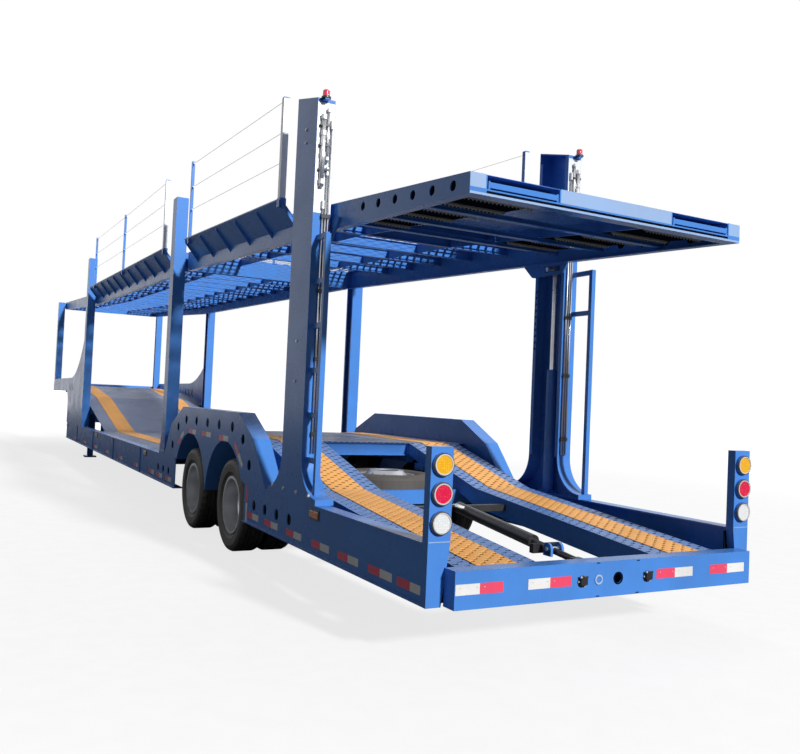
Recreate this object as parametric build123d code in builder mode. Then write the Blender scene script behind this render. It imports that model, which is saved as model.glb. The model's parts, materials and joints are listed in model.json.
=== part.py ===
from build123d import *
import os
from math import cos, pi, radians, sin, sqrt, tan

# Double-deck car carrier semi-trailer. Millimetres. +X points forward, +Y to the left, +Z up.
# The origin is on the ground, in the middle of the trailer's length and width.
# A place along the trailer is given as its distance ahead of the rear face, through at().

os.makedirs("parts", exist_ok=True)

# ---- whole trailer ---------------------------------------------------------------------------
LENGTH = 18300.0
WIDTH = 2500.0
HALF = WIDTH / 2
REAR = -LENGTH / 2
FIT = 0.3                  # running gap of a pin, a hub or a sliding ramp

# ---- rear beam and lamp posts ------------------------------------------------------------------
BEAM_DEEP = 110.0          # along the trailer
BEAM_LOW, BEAM_TOP = 345.0, 552.0
BEAM_HALF = 1140.0
BEAM_WALL = 6.0
TOW_HOLE = 56.0            # diameter of the round hole in the middle of the beam
LAMP_POST_DEEP = 60.0
LAMP_POST_WIDE = 140.0
LAMP_POST_FOOT = 95.0      # width at the foot, below the taper
LAMP_POST_TOP = 1200.0
LAMP_ACROSS = 130.0
LAMP_THICK = 22.0
LAMP_RING = 9.0
LAMPS = [                  # name, height of the lamp's middle
    ("amber", 1105.0),
    ("red", 948.0),
    ("white", 792.0),
]

# ---- side rails --------------------------------------------------------------------------------
RAIL_LOW, RAIL_TOP = 340.0, 680.0
RAIL_FLANGE = 110.0
RAIL_FLANGE_THICK = 12.0
RAIL_WEB = 8.0
RAIL_WEB_INSET = 12.0      # web's outer face behind the flange's edge
RAIL_FRONT = 15490.0
RAIL_HOLE = 88.0
RAIL_HOLE_HIGH = 510.0
RAIL_HOLE_PITCH = 270.0
RAIL_HOLES = [             # first hole, number of holes
    (2175.0, 4),
    (6055.0, 3),
]
RAIL_RIBS = [7700.0, 9750.0, 11800.0, 13850.0]
RIB_WIDE = 90.0

# ---- wheels, axles and arches ------------------------------------------------------------------
AXLES = [3725.0, 5075.0]
TYRE_R = 420.0
TYRE_WIDE = 248.0
RIM_R = 248.0
TWIN_PITCH = 280.0         # between the middles of a pair of tyres
TWIN_AT = 960.0            # middle of a pair, from the trailer's middle
AXLE_HIGH = TYRE_R
AXLE_TUBE_R = 64.0
SPINDLE_R = 45.0
ARCHES = [                 # middle of the arch, its height, its radius
    (3855.0, 390.0, 605.0),
    (5100.0, 360.0, 640.0),
]
ARCH_SHEET = 5.0
ARCH_INNER = 640.0         # the arch sheet's inner edge, from the trailer's middle
ARCH_FOOT = 470.0          # lowest point of the plate between the arches

# ---- boxed humps over the wheels ---------------------------------------------------------------
HUMP = [                   # outline of the hump: along, height
    (2690.0, RAIL_TOP), (3040.0, 1060.0), (3480.0, 1270.0),
    (5450.0, 1270.0), (5970.0, 1060.0), (6260.0, RAIL_TOP),
]
HUMP_WIDE = 150.0
HUMP_SHEET = 8.0
HUMP_HOLE = 92.0
HUMP_HOLES = [             # along, height
    (3124.0, 834.0), (3323.0, 1041.0), (3643.0, 1134.0), (4062.0, 1136.0), (4464.0, 1136.0),
    (4880.0, 1136.0), (5292.0, 1133.0), (5632.0, 1041.0), (5868.0, 826.0),
]

# ---- lower deck --------------------------------------------------------------------------------
SHEET = 4.5                # lower deck's plate
RAMP_REAR = (BEAM_DEEP, 522.0)
RAMP_KINK = (2210.0, 720.0)
PLATFORM_REAR = (3410.0, 1030.0)
PLATFORM_FRONT = (5300.0, 1030.0)
WELL_REAR = (6320.0, RAIL_TOP)
WELL_FRONT = (11400.0, RAIL_TOP)
NOSE_KINK = (14050.0, 1240.0)
NOSE_REAR = (16250.0, 1465.0)
FLOOR_FRONT = (LENGTH - 40.0, 1465.0)
TRACK_IN, TRACK_OUT = 455.0, 1015.0
TRACK_WEB = 8.0
TRACK_DEEP = 150.0
UPPER_RAMP_DEEP = 112.0
FLOOR_HALF = 1100.0        # half-width between the humps
STRIP_IN, STRIP_OUT = 600.0, 880.0
STRIP_THICK = 5.0
CROSS_HIGH = 120.0
CROSS_WIDE = 60.0
CROSS_WALL = 8.0
CROSS_PITCH = 650.0
STRINGER_AT = 480.0
STRINGER_WIDE = 60.0
SPARE_BEAM = 2520.0        # cross beam behind the spare wheel
SPARE_BEAM_HIGH = 118.0
SPARE_AT = 2990.0
SPARE_TOP = 790.0

# ---- nose --------------------------------------------------------------------------------------
NOSE_BEAM_LOW = 1262.0
COUPLER_THICK = 12.0
COUPLER_HALF = 450.0
KINGPIN_AT = 16700.0
KINGPIN_R = 25.4
KINGPIN_COLLAR_R, KINGPIN_END_R = 36.5, 35.5
KINGPIN_LONG = 84.0
NOSE_PLATE = 8.0
LEGS_AT = 14500.0
LEG_ACROSS = 880.0         # leg's middle, from the trailer's middle
LEG_OUTER, LEG_INNER, LEG_WALL = 130.0, 105.0, 8.0

# ---- columns and posts -------------------------------------------------------------------------
COLUMN_DEEP = 140.0
COLUMN_AT, COLUMN_WIDE, COLUMN_TOP, COLUMN_SLANT = 2150.0, 400.0, 3745.0, 105.0
COLUMN_WALL = 10.0
COLUMN_FOOT_WIDE, COLUMN_FOOT_HIGH = 980.0, 330.0
POSTS = {                  # name: along, width, top, foot's height, foot's extra width, base
    "middle": (6350.0, 180.0, 3750.0, 260.0, 90.0, RAIL_TOP),
    "second": (13350.0, 200.0, 3930.0, 0.0, 0.0, RAIL_TOP),
    "front": (18190.0, 140.0, 3480.0, 0.0, 0.0, FLOOR_FRONT[1]),
}
POST_WALL = 8.0
LOCK_HOLE, LOCK_PITCH, LOCK_COUNT, LOCK_LOW = 26.0, 57.0, 10, 1960.0

# ---- upper deck --------------------------------------------------------------------------------
DECK_HALF = 1080.0
DECK_SHEET = 5.0
DECK_BEAM_WALL = 8.0
DECK_FLANGE = 60.0
HINGE_AT, HINGE_HIGH = 6330.0, 2985.0
HINGE_GAP = 60.0           # deck's end back from the hinge
HINGE_PIN_R = 20.0
HINGE_EAR_R = 48.0
REAR_TOP = [(BEAM_DEEP, 2710.0), (2800.0, 2955.0), (HINGE_AT - HINGE_GAP, 3105.0)]
REAR_LOW = [(BEAM_DEEP, 2590.0), (2800.0, 2725.0), (HINGE_AT - HINGE_GAP, 2880.0)]
FRONT_TOP = [(HINGE_AT + HINGE_GAP, 3120.0), (13350.0, 3270.0), (LENGTH, 3500.0)]
FRONT_LOW = [(HINGE_AT + HINGE_GAP, 2890.0), (13350.0, 3050.0), (LENGTH, 3330.0)]
DECK_TRACK_IN, DECK_TRACK_OUT = 430.0, 1010.0
DECK_CROSS_PITCH = 610.0
DECK_CROSS_WIDE, DECK_CROSS_HIGH, DECK_CROSS_WALL = 50.0, 90.0, 6.0
LIGHTENING = 62.0          # holes in the rear deck's side beams
LIGHTENING_PITCH = 235.0
LIGHTENING_FIRST = 285.0
LIGHTENING_COUNT = 6
LOWERING = 11.0            # degrees that the rear deck lowers
WING_LOW, WING_RISE = 105.0, 82.0
WING_SHEET = 5.0
WINGS = [                  # deck, rear end, front end
    ("rear", 2660.0, 5810.0),
    ("front", 6850.0, 13100.0),
]

# ---- stored ramps in the upper deck's tail -----------------------------------------------------
POCKET_IN, POCKET_OUT = 455.0, 965.0
POCKET_LOW, POCKET_HIGH = 2628.0, 2692.0
RAMP_LONG = 1900.0
RAMP_SIDE_GAP = 8.0
RAMP_THICK = 48.0
RAMP_OUT = 1500.0

# ---- lift gear in the rear columns -------------------------------------------------------------
LIFT_ACROSS = 1180.0
BARREL_R, BORE_R, ROD_R = 48.0, 40.0, 27.0
BARREL_LOW, BARREL_TOP = 700.0, 1770.0
LIFT_PIN_R = 20.0
LIFT_PIN_HIGH = 2655.0
LUG_THICK = 16.0
LUG_EDGE = 28.0            # metal round the slot
SADDLE_TAIL, SADDLE_FLAT, SADDLE_NOSE = 130.0, 180.0, 390.0    # the saddle's reach past the slot
SADDLE_ROUND = 60.0
LUG_GAP = 10.0             # deck lug's inner face to the crosshead
SLOT_PLAY = 8.0


def at(from_rear):
    """Place along X of a point so far ahead of the rear face."""
    return REAR + from_rear


def height_on(line, along):
    """Height of a bent line of (along, height) points at a place along the trailer."""
    for (a_from, z_from), (a_to, z_to) in zip(line, line[1:]):
        if along <= a_to:
            break
    return z_from + (z_to - z_from) * (along - a_from) / (a_to - a_from)


def bar(x, y, z, mode=Mode.ADD):
    """Straight bar or plate between low and high places along X, Y and Z."""
    with Locations(tuple((low + high) / 2 for low, high in (x, y, z))):
        Box(*(high - low for low, high in (x, y, z)), mode=mode)


def plate(outline, y, mode=Mode.ADD):
    """Plate with an outline of (along, height) points, between two places across the trailer."""
    with BuildSketch(Plane.XZ.offset(-y[1])) as face:
        with BuildLine():
            Polyline(*[(at(along), high) for along, high in outline], close=True)
        make_face()
    extrude(face.sketch, amount=y[1] - y[0], mode=mode)


def band(line, deep, y, mode=Mode.ADD):
    """Sheet or beam of one depth that hangs below a bent line of (along, height) points."""
    plate(line + [(along, high - deep) for along, high in reversed(line)], y, mode)


def channel(outline, web, tip, wall, mode=Mode.ADD):
    """Channel section: a web at one place across, with flanges along its outline up to the tip."""
    plate(outline, (min(web, tip), max(web, tip)), mode)
    ahead = wall if tip > web else -wall
    with BuildSketch(Plane.XZ.offset(-max(web + ahead, tip))) as inside:
        with BuildLine():
            Polyline(*[(at(along), high) for along, high in outline], close=True)
        make_face()
        offset(amount=-wall, kind=Kind.INTERSECTION)
    extrude(inside.sketch, amount=abs(tip - web - ahead), mode=Mode.SUBTRACT)


def holes(places, radius, y):
    """Round holes across the trailer at (along, height) places."""
    with BuildSketch(Plane.XZ.offset(-y[1])) as rounds:
        with Locations(*[(at(along), high) for along, high in places]):
            Circle(radius)
    extrude(rounds.sketch, amount=y[1] - y[0], mode=Mode.SUBTRACT)


def cut_line(line, start, end):
    """The stretch of a bent line between two places along the trailer."""
    inside = [point for point in line if start < point[0] < end]
    return [(start, height_on(line, start))] + inside + [(end, height_on(line, end))]


def save(builder, name):
    """Label a finished piece and write it as its own STEP file."""
    builder.part.label = name
    export_step(builder.part, f"parts/{name}.step")


SIDES = [("left", 1), ("right", -1)]

# ---- rear beam ---------------------------------------------------------------------------------
with BuildPart() as rear_beam:
    bar((at(0), at(BEAM_DEEP)), (-BEAM_HALF, BEAM_HALF), (BEAM_LOW, BEAM_TOP))
    bar((at(BEAM_WALL), at(BEAM_DEEP - BEAM_WALL)), (BEAM_WALL - BEAM_HALF, BEAM_HALF - BEAM_WALL),
        (BEAM_LOW + BEAM_WALL, BEAM_TOP - BEAM_WALL), Mode.SUBTRACT)
    with Locations(Plane(origin=(at(BEAM_WALL / 2), 0, 448), z_dir=(1, 0, 0))):
        Cylinder(TOW_HOLE / 2, 2 * BEAM_WALL, mode=Mode.SUBTRACT)
save(rear_beam, "rear_beam")

# ---- lamp posts and lamps ----------------------------------------------------------------------
lamp_across = HALF - LAMP_POST_WIDE / 2
with BuildPart() as lamp_posts:
    with BuildSketch(Plane.YZ.offset(at(BEAM_DEEP))) as post_face:
        with BuildLine():
            Polyline((HALF, RAIL_LOW), (HALF, LAMP_POST_TOP), (HALF - LAMP_POST_WIDE, LAMP_POST_TOP),
                     (HALF - LAMP_POST_WIDE, RAIL_TOP), (HALF - LAMP_POST_FOOT, RAIL_LOW), close=True)
        make_face()
    extrude(amount=LAMP_POST_DEEP)
    with Locations(*[Plane(origin=(at(BEAM_DEEP), lamp_across, high), z_dir=(-1, 0, 0))
                     for name, high in LAMPS]):
        Cylinder(LAMP_ACROSS / 2, LAMP_THICK - 6, align=(Align.CENTER, Align.CENTER, Align.MIN))
        Cylinder(LAMP_ACROSS / 2 - LAMP_RING, LAMP_THICK - 6,
                 align=(Align.CENTER, Align.CENTER, Align.MIN), mode=Mode.SUBTRACT)
    mirror(about=Plane.XZ)
save(lamp_posts, "lamp_posts")

for name, high in LAMPS:
    with BuildPart() as lamps:
        with Locations(*[Plane(origin=(at(BEAM_DEEP), sign * lamp_across, high), z_dir=(-1, 0, 0))
                         for side, sign in SIDES]):
            Cylinder(LAMP_ACROSS / 2 - LAMP_RING, LAMP_THICK,
                     align=(Align.CENTER, Align.CENTER, Align.MIN))
    save(lamps, f"{name}_lamps")

# ---- side rails --------------------------------------------------------------------------------
web_out = HALF - RAIL_WEB_INSET
web_in = web_out - RAIL_WEB
arch_rear, arch_front = ARCHES[0], ARCHES[1]


def arch_edge(arch, high, ahead):
    """Place along the trailer where an arch's curve is at a height, behind or ahead of its middle."""
    along, middle, radius = arch
    return along + ahead * sqrt(radius ** 2 - (high - middle) ** 2)


rail_runs = [(BEAM_DEEP + LAMP_POST_DEEP, arch_edge(arch_rear, RAIL_LOW, -1)),
             (arch_edge(arch_front, RAIL_LOW, 1), RAIL_FRONT)]
for side, sign in SIDES:
    with BuildPart() as side_rail:
        for start, end in rail_runs:
            run = (at(start), at(end))
            bar(run, (web_in, web_out), (RAIL_LOW, RAIL_TOP))
            bar(run, (HALF - RAIL_FLANGE, HALF), (RAIL_TOP - RAIL_FLANGE_THICK, RAIL_TOP))
            bar(run, (HALF - RAIL_FLANGE, HALF), (RAIL_LOW, RAIL_LOW + RAIL_FLANGE_THICK))
        for along in RAIL_RIBS:
            bar((at(along - RIB_WIDE / 2), at(along + RIB_WIDE / 2)), (web_in, HALF - 2),
                (RAIL_LOW + RAIL_FLANGE_THICK, RAIL_TOP - RAIL_FLANGE_THICK))
        for first, count in RAIL_HOLES:
            holes([(first + i * RAIL_HOLE_PITCH, RAIL_HOLE_HIGH) for i in range(count)],
                  RAIL_HOLE / 2, (web_in - 1, HALF))
        for along, high, radius in ARCHES:
            with Locations(Plane(origin=(at(along), HALF, high), z_dir=(0, -1, 0))):
                Cylinder(radius, RAIL_FLANGE + 2, align=(Align.CENTER, Align.CENTER, Align.MIN),
                         mode=Mode.SUBTRACT)
        if side == "right":
            mirror(about=Plane.XZ, mode=Mode.REPLACE)
    save(side_rail, f"side_rail_{side}")

# ---- boxed humps and arch sheets over the wheels -----------------------------------------------
HUMP_LONG = HUMP[-1][0] - HUMP[0][0]
FLANK = 700.0              # reach of the rail beside an arch
for side, sign in SIDES:
    with BuildPart() as wheel_hump:
        with BuildSketch(Plane.XZ.offset(-HALF)) as hump_face:
            with BuildLine():
                Polyline(*[(at(along), high) for along, high in HUMP], close=True)
            make_face()
        extrude(hump_face.sketch, amount=HUMP_WIDE)
        with BuildSketch(Plane.XZ.offset(-(HALF - HUMP_SHEET))) as hump_hollow:
            add(hump_face.sketch.moved(Location((0, -HUMP_SHEET, 0))))
            offset(amount=-HUMP_SHEET, kind=Kind.INTERSECTION)
        extrude(hump_hollow.sketch, amount=HUMP_WIDE - 2 * HUMP_SHEET, mode=Mode.SUBTRACT)
        tip = (ARCHES[0][0] + ARCHES[1][0]) / 2
        plate([(tip - 200, ARCH_FOOT), (tip - 200, RAIL_TOP + 20), (tip + 200, RAIL_TOP + 20),
               (tip + 200, ARCH_FOOT)], (HALF - HUMP_SHEET, HALF))
        for along, high, radius in ARCHES:
            with Locations(Plane(origin=(at(along), HALF + 1, high), z_dir=(0, -1, 0))):
                Cylinder(radius, HUMP_WIDE + 2, align=(Align.CENTER, Align.CENTER, Align.MIN),
                         mode=Mode.SUBTRACT)
        holes(HUMP_HOLES, HUMP_HOLE / 2, (HALF - HUMP_SHEET - 1, HALF + 1))
        with BuildSketch(Plane.XZ.offset(-(HALF - HUMP_SHEET))) as arch_sheet:
            for along, high, radius in ARCHES:
                with Locations((at(along), high)):
                    Circle(radius + ARCH_SHEET)
            for along, high, radius in ARCHES:
                with Locations((at(along), high)):
                    Circle(radius, mode=Mode.SUBTRACT)
            for middle, wide, top in ((tip, 2 * HUMP_LONG, ARCH_FOOT), (HUMP[0][0], 2 * FLANK, RAIL_TOP),
                                      (HUMP[-1][0], 2 * FLANK, RAIL_TOP)):
                with Locations((at(middle), top)):
                    Rectangle(wide, HUMP_LONG, align=(Align.CENTER, Align.MAX), mode=Mode.SUBTRACT)
        extrude(arch_sheet.sketch, amount=HALF - HUMP_SHEET - ARCH_INNER)
        if side == "right":
            mirror(about=Plane.XZ, mode=Mode.REPLACE)
    save(wheel_hump, f"wheel_hump_{side}")

# ---- lower deck --------------------------------------------------------------------------------
RAMP = [RAMP_REAR, RAMP_KINK, PLATFORM_REAR]
FLOOR = [PLATFORM_REAR, PLATFORM_FRONT, WELL_REAR, WELL_FRONT, NOSE_KINK, NOSE_REAR, FLOOR_FRONT]
under_ramp = [(along, high - SHEET) for along, high in RAMP]
under_floor = [(along, high - SHEET) for along, high in FLOOR]
flange_tip = HALF - RAIL_FLANGE
HANGER_AT, HANGER_TOP = AXLES[0] - 570.0, 790.0     # rear hanger of the springs
carrier_top = SPARE_TOP - TYRE_WIDE

with BuildPart() as ramp_floor:
    band(RAMP, SHEET, (TRACK_IN, TRACK_OUT))
    mirror(about=Plane.XZ)
save(ramp_floor, "ramp_floor")

with BuildPart() as ramp_frame:
    web_line = under_ramp + [(PLATFORM_REAR[0], PLATFORM_REAR[1] - SHEET - UPPER_RAMP_DEEP),
                             (RAMP_KINK[0] + 150, RAMP_KINK[1] - SHEET - TRACK_DEEP + 60),
                             (RAMP_KINK[0], RAMP_KINK[1] - SHEET - TRACK_DEEP),
                             (RAMP_REAR[0], RAMP_REAR[1] - SHEET - TRACK_DEEP)]
    plate(web_line, (TRACK_IN, TRACK_IN + TRACK_WEB))
    plate(web_line, (TRACK_OUT - TRACK_WEB, TRACK_OUT))
    for along in (350.0, 850.0, 1350.0, 1850.0, 2700.0, 3150.0):
        top = height_on(under_ramp, along - 25)
        bar((at(along - 25), at(along + 25)), (TRACK_IN, TRACK_OUT), (top - 60, top))
    for along in (600.0, 1400.0, 2150.0):
        low = height_on(under_ramp, along) - TRACK_DEEP + 20
        bar((at(along - 40), at(along + 40)), (TRACK_OUT - TRACK_WEB, web_in), (low, low + 80))
    for along in (SPARE_AT - 200, SPARE_AT + 60):
        reach = height_on(under_ramp, along) - UPPER_RAMP_DEEP + 40
        bar((at(along - 25), at(along + 25)), (0, TRACK_IN), (carrier_top - 40, carrier_top))
        bar((at(along - 25), at(along + 25)), (TRACK_IN - 12, TRACK_IN), (carrier_top - 40, reach))
    bar((at(SPARE_BEAM - 40), at(SPARE_BEAM + 40)), (0, flange_tip),
        (RAIL_TOP - SPARE_BEAM_HIGH, RAIL_TOP))
    bar((at(HANGER_AT - 75), at(HANGER_AT + 75)), (STRINGER_AT - 50, STRINGER_AT + 50),
        (HANGER_TOP, HANGER_TOP + 60))
    mirror(about=Plane.XZ)
save(ramp_frame, "ramp_frame")

with BuildPart() as lower_floor:
    band(cut_line(FLOOR, PLATFORM_REAR[0], WELL_REAR[0]), SHEET, (-FLOOR_HALF, FLOOR_HALF))
    band(cut_line(FLOOR, WELL_REAR[0], WELL_FRONT[0]), SHEET, (-flange_tip, flange_tip))
    band(cut_line(FLOOR, WELL_FRONT[0], NOSE_REAR[0] - 2600), SHEET, (-FLOOR_HALF, FLOOR_HALF))
    band(cut_line(FLOOR, NOSE_REAR[0] - 2600, FLOOR_FRONT[0]), SHEET,
         (NOSE_PLATE - HALF, HALF - NOSE_PLATE))
save(lower_floor, "lower_floor")

with BuildPart() as lower_strips:
    for start, end in ((RAMP_REAR[0] + 20, PLATFORM_REAR[0]), (PLATFORM_REAR[0], 17900.0)):
        line = cut_line(RAMP + FLOOR[1:], start, end)
        band([(along, high + STRIP_THICK) for along, high in line], STRIP_THICK,
             (STRIP_IN, STRIP_OUT))
    mirror(about=Plane.XZ)
save(lower_strips, "lower_strips")


def cross_members(line, places, wide, high, wall, half):
    """Cross members of I section under a bent line, from one side to the other."""
    with BuildSketch(Plane.XZ.offset(-half)) as sections:
        for along in places:
            top = min(height_on(line, along - wide / 2), height_on(line, along + wide / 2))
            for drop, size in ((0, (wide, wall)), (0, (wall, high)), (high - wall, (wide, wall))):
                with Locations((at(along), top - drop)):
                    Rectangle(*size, align=(Align.CENTER, Align.MAX))
    extrude(sections.sketch, amount=2 * half)


def floor_members(places, half):
    """Cross members under the lower floor."""
    cross_members(under_floor, places, CROSS_WIDE, CROSS_HIGH, CROSS_WALL, half)


stringer_in, stringer_out = STRINGER_AT - STRINGER_WIDE / 2, STRINGER_AT + STRINGER_WIDE / 2
well_low = RAIL_TOP - SHEET - CROSS_HIGH
axle_low = PLATFORM_REAR[1] - 190
FRONT_HANGER, FRONT_HANGER_TOP = AXLES[1] + 570.0, 700.0
with BuildPart() as axle_frame:
    channel(cut_line(under_floor, PLATFORM_REAR[0], WELL_REAR[0])
            + [(WELL_REAR[0], well_low), (FRONT_HANGER + 90, FRONT_HANGER_TOP),
               (FRONT_HANGER - 90, FRONT_HANGER_TOP), (PLATFORM_FRONT[0], axle_low),
               (PLATFORM_REAR[0], axle_low)], stringer_in, stringer_out, CROSS_WALL)
    mirror(about=Plane.XZ)
    floor_members((3450.0, 4470.0, 5690.0, 6150.0), FLOOR_HALF)
save(axle_frame, "axle_frame")

with BuildPart() as well_frame:
    channel([(WELL_REAR[0], RAIL_TOP - SHEET), (WELL_FRONT[0], RAIL_TOP - SHEET),
             (WELL_FRONT[0], well_low), (WELL_REAR[0], well_low)], stringer_in, stringer_out, CROSS_WALL)
    mirror(about=Plane.XZ)
    floor_members([6420.0 + i * CROSS_PITCH for i in range(8)], flange_tip)
save(well_frame, "well_frame")

with BuildPart() as nose_frame:
    channel(cut_line(under_floor, WELL_FRONT[0], FLOOR_FRONT[0])
            + [(FLOOR_FRONT[0], NOSE_BEAM_LOW), (15350.0, NOSE_BEAM_LOW),
               (WELL_FRONT[0] + 150, well_low), (WELL_FRONT[0], well_low)],
            stringer_in, stringer_out, CROSS_WALL)
    mirror(about=Plane.XZ)
    floor_members((11900.0, 12550.0, 13150.0), FLOOR_HALF)
    floor_members([14000.0 + i * CROSS_PITCH for i in range(7)], HALF - NOSE_PLATE)
    bar((at(15700.0), at(17800.0)), (-COUPLER_HALF - 80, COUPLER_HALF + 80),
        (NOSE_BEAM_LOW - COUPLER_THICK, NOSE_BEAM_LOW))
    bar((at(FLOOR_FRONT[0]), at(LENGTH)), (-HALF, HALF),
        (FLOOR_FRONT[1] - 130, FLOOR_FRONT[1] + 60))
save(nose_frame, "nose_frame")

nose_end = POSTS["front"][0] - POSTS["front"][1] / 2
with BuildPart() as nose_sides:
    with BuildSketch(Plane.XZ.offset(-HALF)) as nose_face:
        with BuildLine():
            Polyline((at(15200.0), 1620.0), (at(nose_end), 1600.0), (at(nose_end), FLOOR_FRONT[1]),
                     (at(FLOOR_FRONT[0]), FLOOR_FRONT[1]),
                     (at(FLOOR_FRONT[0]), 1350.0), (at(15800.0), 1350.0))
            TangentArc((at(15800.0), 1350.0), (at(RAIL_FRONT), 1040.0), tangent=(-1, 0))
            Polyline((at(RAIL_FRONT), 1040.0), (at(RAIL_FRONT), RAIL_TOP), (at(13450.0), RAIL_TOP),
                     (at(13450.0), 2350.0))
            ThreePointArc((at(13450.0), 2350.0), (at(14050.0), 1890.0), (at(15200.0), 1620.0))
        make_face()
        with Locations(*[(at(along), high) for along, high in
                         ((14780.0, 1420.0), (15060.0, 1420.0), (15340.0, 1420.0),
                          (15080.0, 1150.0), (15180.0, 860.0), (14700.0, 1000.0))]):
            SlotOverall(130.0, 42.0, rotation=90, mode=Mode.SUBTRACT)
    extrude(nose_face.sketch, amount=NOSE_PLATE)
    mirror(about=Plane.XZ)
save(nose_sides, "nose_sides")

with BuildPart() as kingpin:
    with BuildSketch(Plane.XZ) as pin_face:
        low = NOSE_BEAM_LOW - COUPLER_THICK
        with BuildLine():
            Polyline((0, low), (KINGPIN_COLLAR_R, low), (KINGPIN_COLLAR_R, low - 35),
                     (KINGPIN_R, low - 37), (KINGPIN_R, low - 71), (KINGPIN_END_R, low - 73),
                     (KINGPIN_END_R, low - KINGPIN_LONG), (0, low - KINGPIN_LONG), close=True)
        make_face()
    revolve(axis=Axis.Z)
kingpin.part = kingpin.part.moved(Location((at(KINGPIN_AT), 0, 0)))
save(kingpin, "kingpin")

with BuildPart() as landing_legs:
    leg_top = height_on(under_floor, LEGS_AT - LEG_OUTER / 2)
    inner_top, foot = 420.0, 30.0
    for radius, wall, low, high in ((LEG_OUTER / 2, LEG_WALL, 380.0, leg_top),
                                    (LEG_INNER / 2, LEG_WALL, foot, inner_top)):
        bar((at(LEGS_AT - radius), at(LEGS_AT + radius)),
            (LEG_ACROSS - radius, LEG_ACROSS + radius), (low, high))
    bar((at(LEGS_AT - 130), at(LEGS_AT + 130)), (LEG_ACROSS - 110, LEG_ACROSS + 110), (0, foot))
    bar((at(LEGS_AT - 25), at(LEGS_AT + 25)), (0, LEG_ACROSS), (760.0, 830.0))
    bar((at(LEGS_AT - 40), at(LEGS_AT + 40)), (LEG_ACROSS, HALF - NOSE_PLATE), (980.0, 1080.0))
    mirror(about=Plane.XZ)
save(landing_legs, "landing_legs")

# ---- columns and posts -------------------------------------------------------------------------
column_in = HALF - COLUMN_DEEP
rear_x, front_x = at(COLUMN_AT - COLUMN_WIDE / 2), at(COLUMN_AT + COLUMN_WIDE / 2)
foot_high = RAIL_TOP + COLUMN_FOOT_HIGH


def column_outline():
    """Side face of a rear column with its flared foot."""
    foot_rear = at(COLUMN_AT - COLUMN_FOOT_WIDE / 2)
    foot_front = at(COLUMN_AT + COLUMN_FOOT_WIDE / 2)
    toe = foot_high - (COLUMN_FOOT_WIDE - COLUMN_WIDE) / 2
    with BuildSketch(Plane.XZ.offset(-HALF)) as face:
        with BuildLine():
            Polyline((rear_x, foot_high), (rear_x, COLUMN_TOP - COLUMN_SLANT),
                     (front_x, COLUMN_TOP), (front_x, foot_high))
            TangentArc((front_x, foot_high), (foot_front, toe), tangent=(0, -1))
            Polyline((foot_front, toe), (foot_front, RAIL_TOP), (foot_rear, RAIL_TOP),
                     (foot_rear, toe))
            TangentArc((rear_x, foot_high), (foot_rear, toe), tangent=(0, -1))
        make_face()
    return face.sketch


for side, sign in SIDES:
    with BuildPart() as rear_column:
        column_face = column_outline()
        extrude(column_face, amount=COLUMN_DEEP)
        with BuildSketch(Plane.XZ.offset(-(HALF - COLUMN_WALL))) as column_hollow:
            add(column_face.moved(Location((0, -COLUMN_WALL, 0))))
            offset(amount=-COLUMN_WALL, kind=Kind.INTERSECTION)
        extrude(column_hollow.sketch, amount=COLUMN_DEEP, mode=Mode.SUBTRACT)
        for low_x, high_x in ((rear_x, rear_x + 40), (front_x - 40, front_x)):
            bar((low_x, high_x), (column_in, column_in + 8), (foot_high, COLUMN_TOP - COLUMN_SLANT))
        holes([(COLUMN_AT + COLUMN_WIDE / 2 - 22, LOCK_LOW + i * LOCK_PITCH)
               for i in range(LOCK_COUNT)], LOCK_HOLE / 2, (column_in - 1, column_in + 9))
        bar((rear_x - 60, rear_x), (HALF - 66, HALF - 34), (COLUMN_TOP - COLUMN_SLANT - 22,
                                                         COLUMN_TOP - COLUMN_SLANT - 10))
        if side == "right":
            mirror(about=Plane.XZ, mode=Mode.REPLACE)
    save(rear_column, f"rear_column_{side}")

with BuildPart() as column_lamps:
    with Locations(*[(at(COLUMN_AT - COLUMN_WIDE / 2 - 32), sign * (HALF - 50),
                      COLUMN_TOP - COLUMN_SLANT - 10) for side, sign in SIDES]):
        Cylinder(26, 66, align=(Align.CENTER, Align.CENTER, Align.MIN))
        fillet(column_lamps.edges().group_by(Axis.Z)[-1], 14)
save(column_lamps, "column_lamps")

for name, (along, wide, top, foot_rise, foot_extra, base) in POSTS.items():
    with BuildPart() as posts:
        post_rear, post_front = at(along - wide / 2), at(along + wide / 2)
        bar((post_rear, post_front), (column_in, HALF), (base, top))
        bar((post_rear + POST_WALL, post_front - POST_WALL), (column_in - 1, HALF - POST_WALL),
            (base + POST_WALL, top - POST_WALL), Mode.SUBTRACT)
        for low_x, high_x in ((post_rear, post_rear + 30), (post_front - 30, post_front)):
            bar((low_x, high_x), (column_in, column_in + 6), (base, top))
        if foot_rise:
            plate([(along + wide / 2, base), (along + wide / 2, base + foot_rise),
                   (along + wide / 2 + foot_extra, base + 30), (along + wide / 2 + foot_extra, base)],
                  (HALF - POST_WALL, HALF))
        mirror(about=Plane.XZ)
    save(posts, f"{name}_posts")

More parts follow.
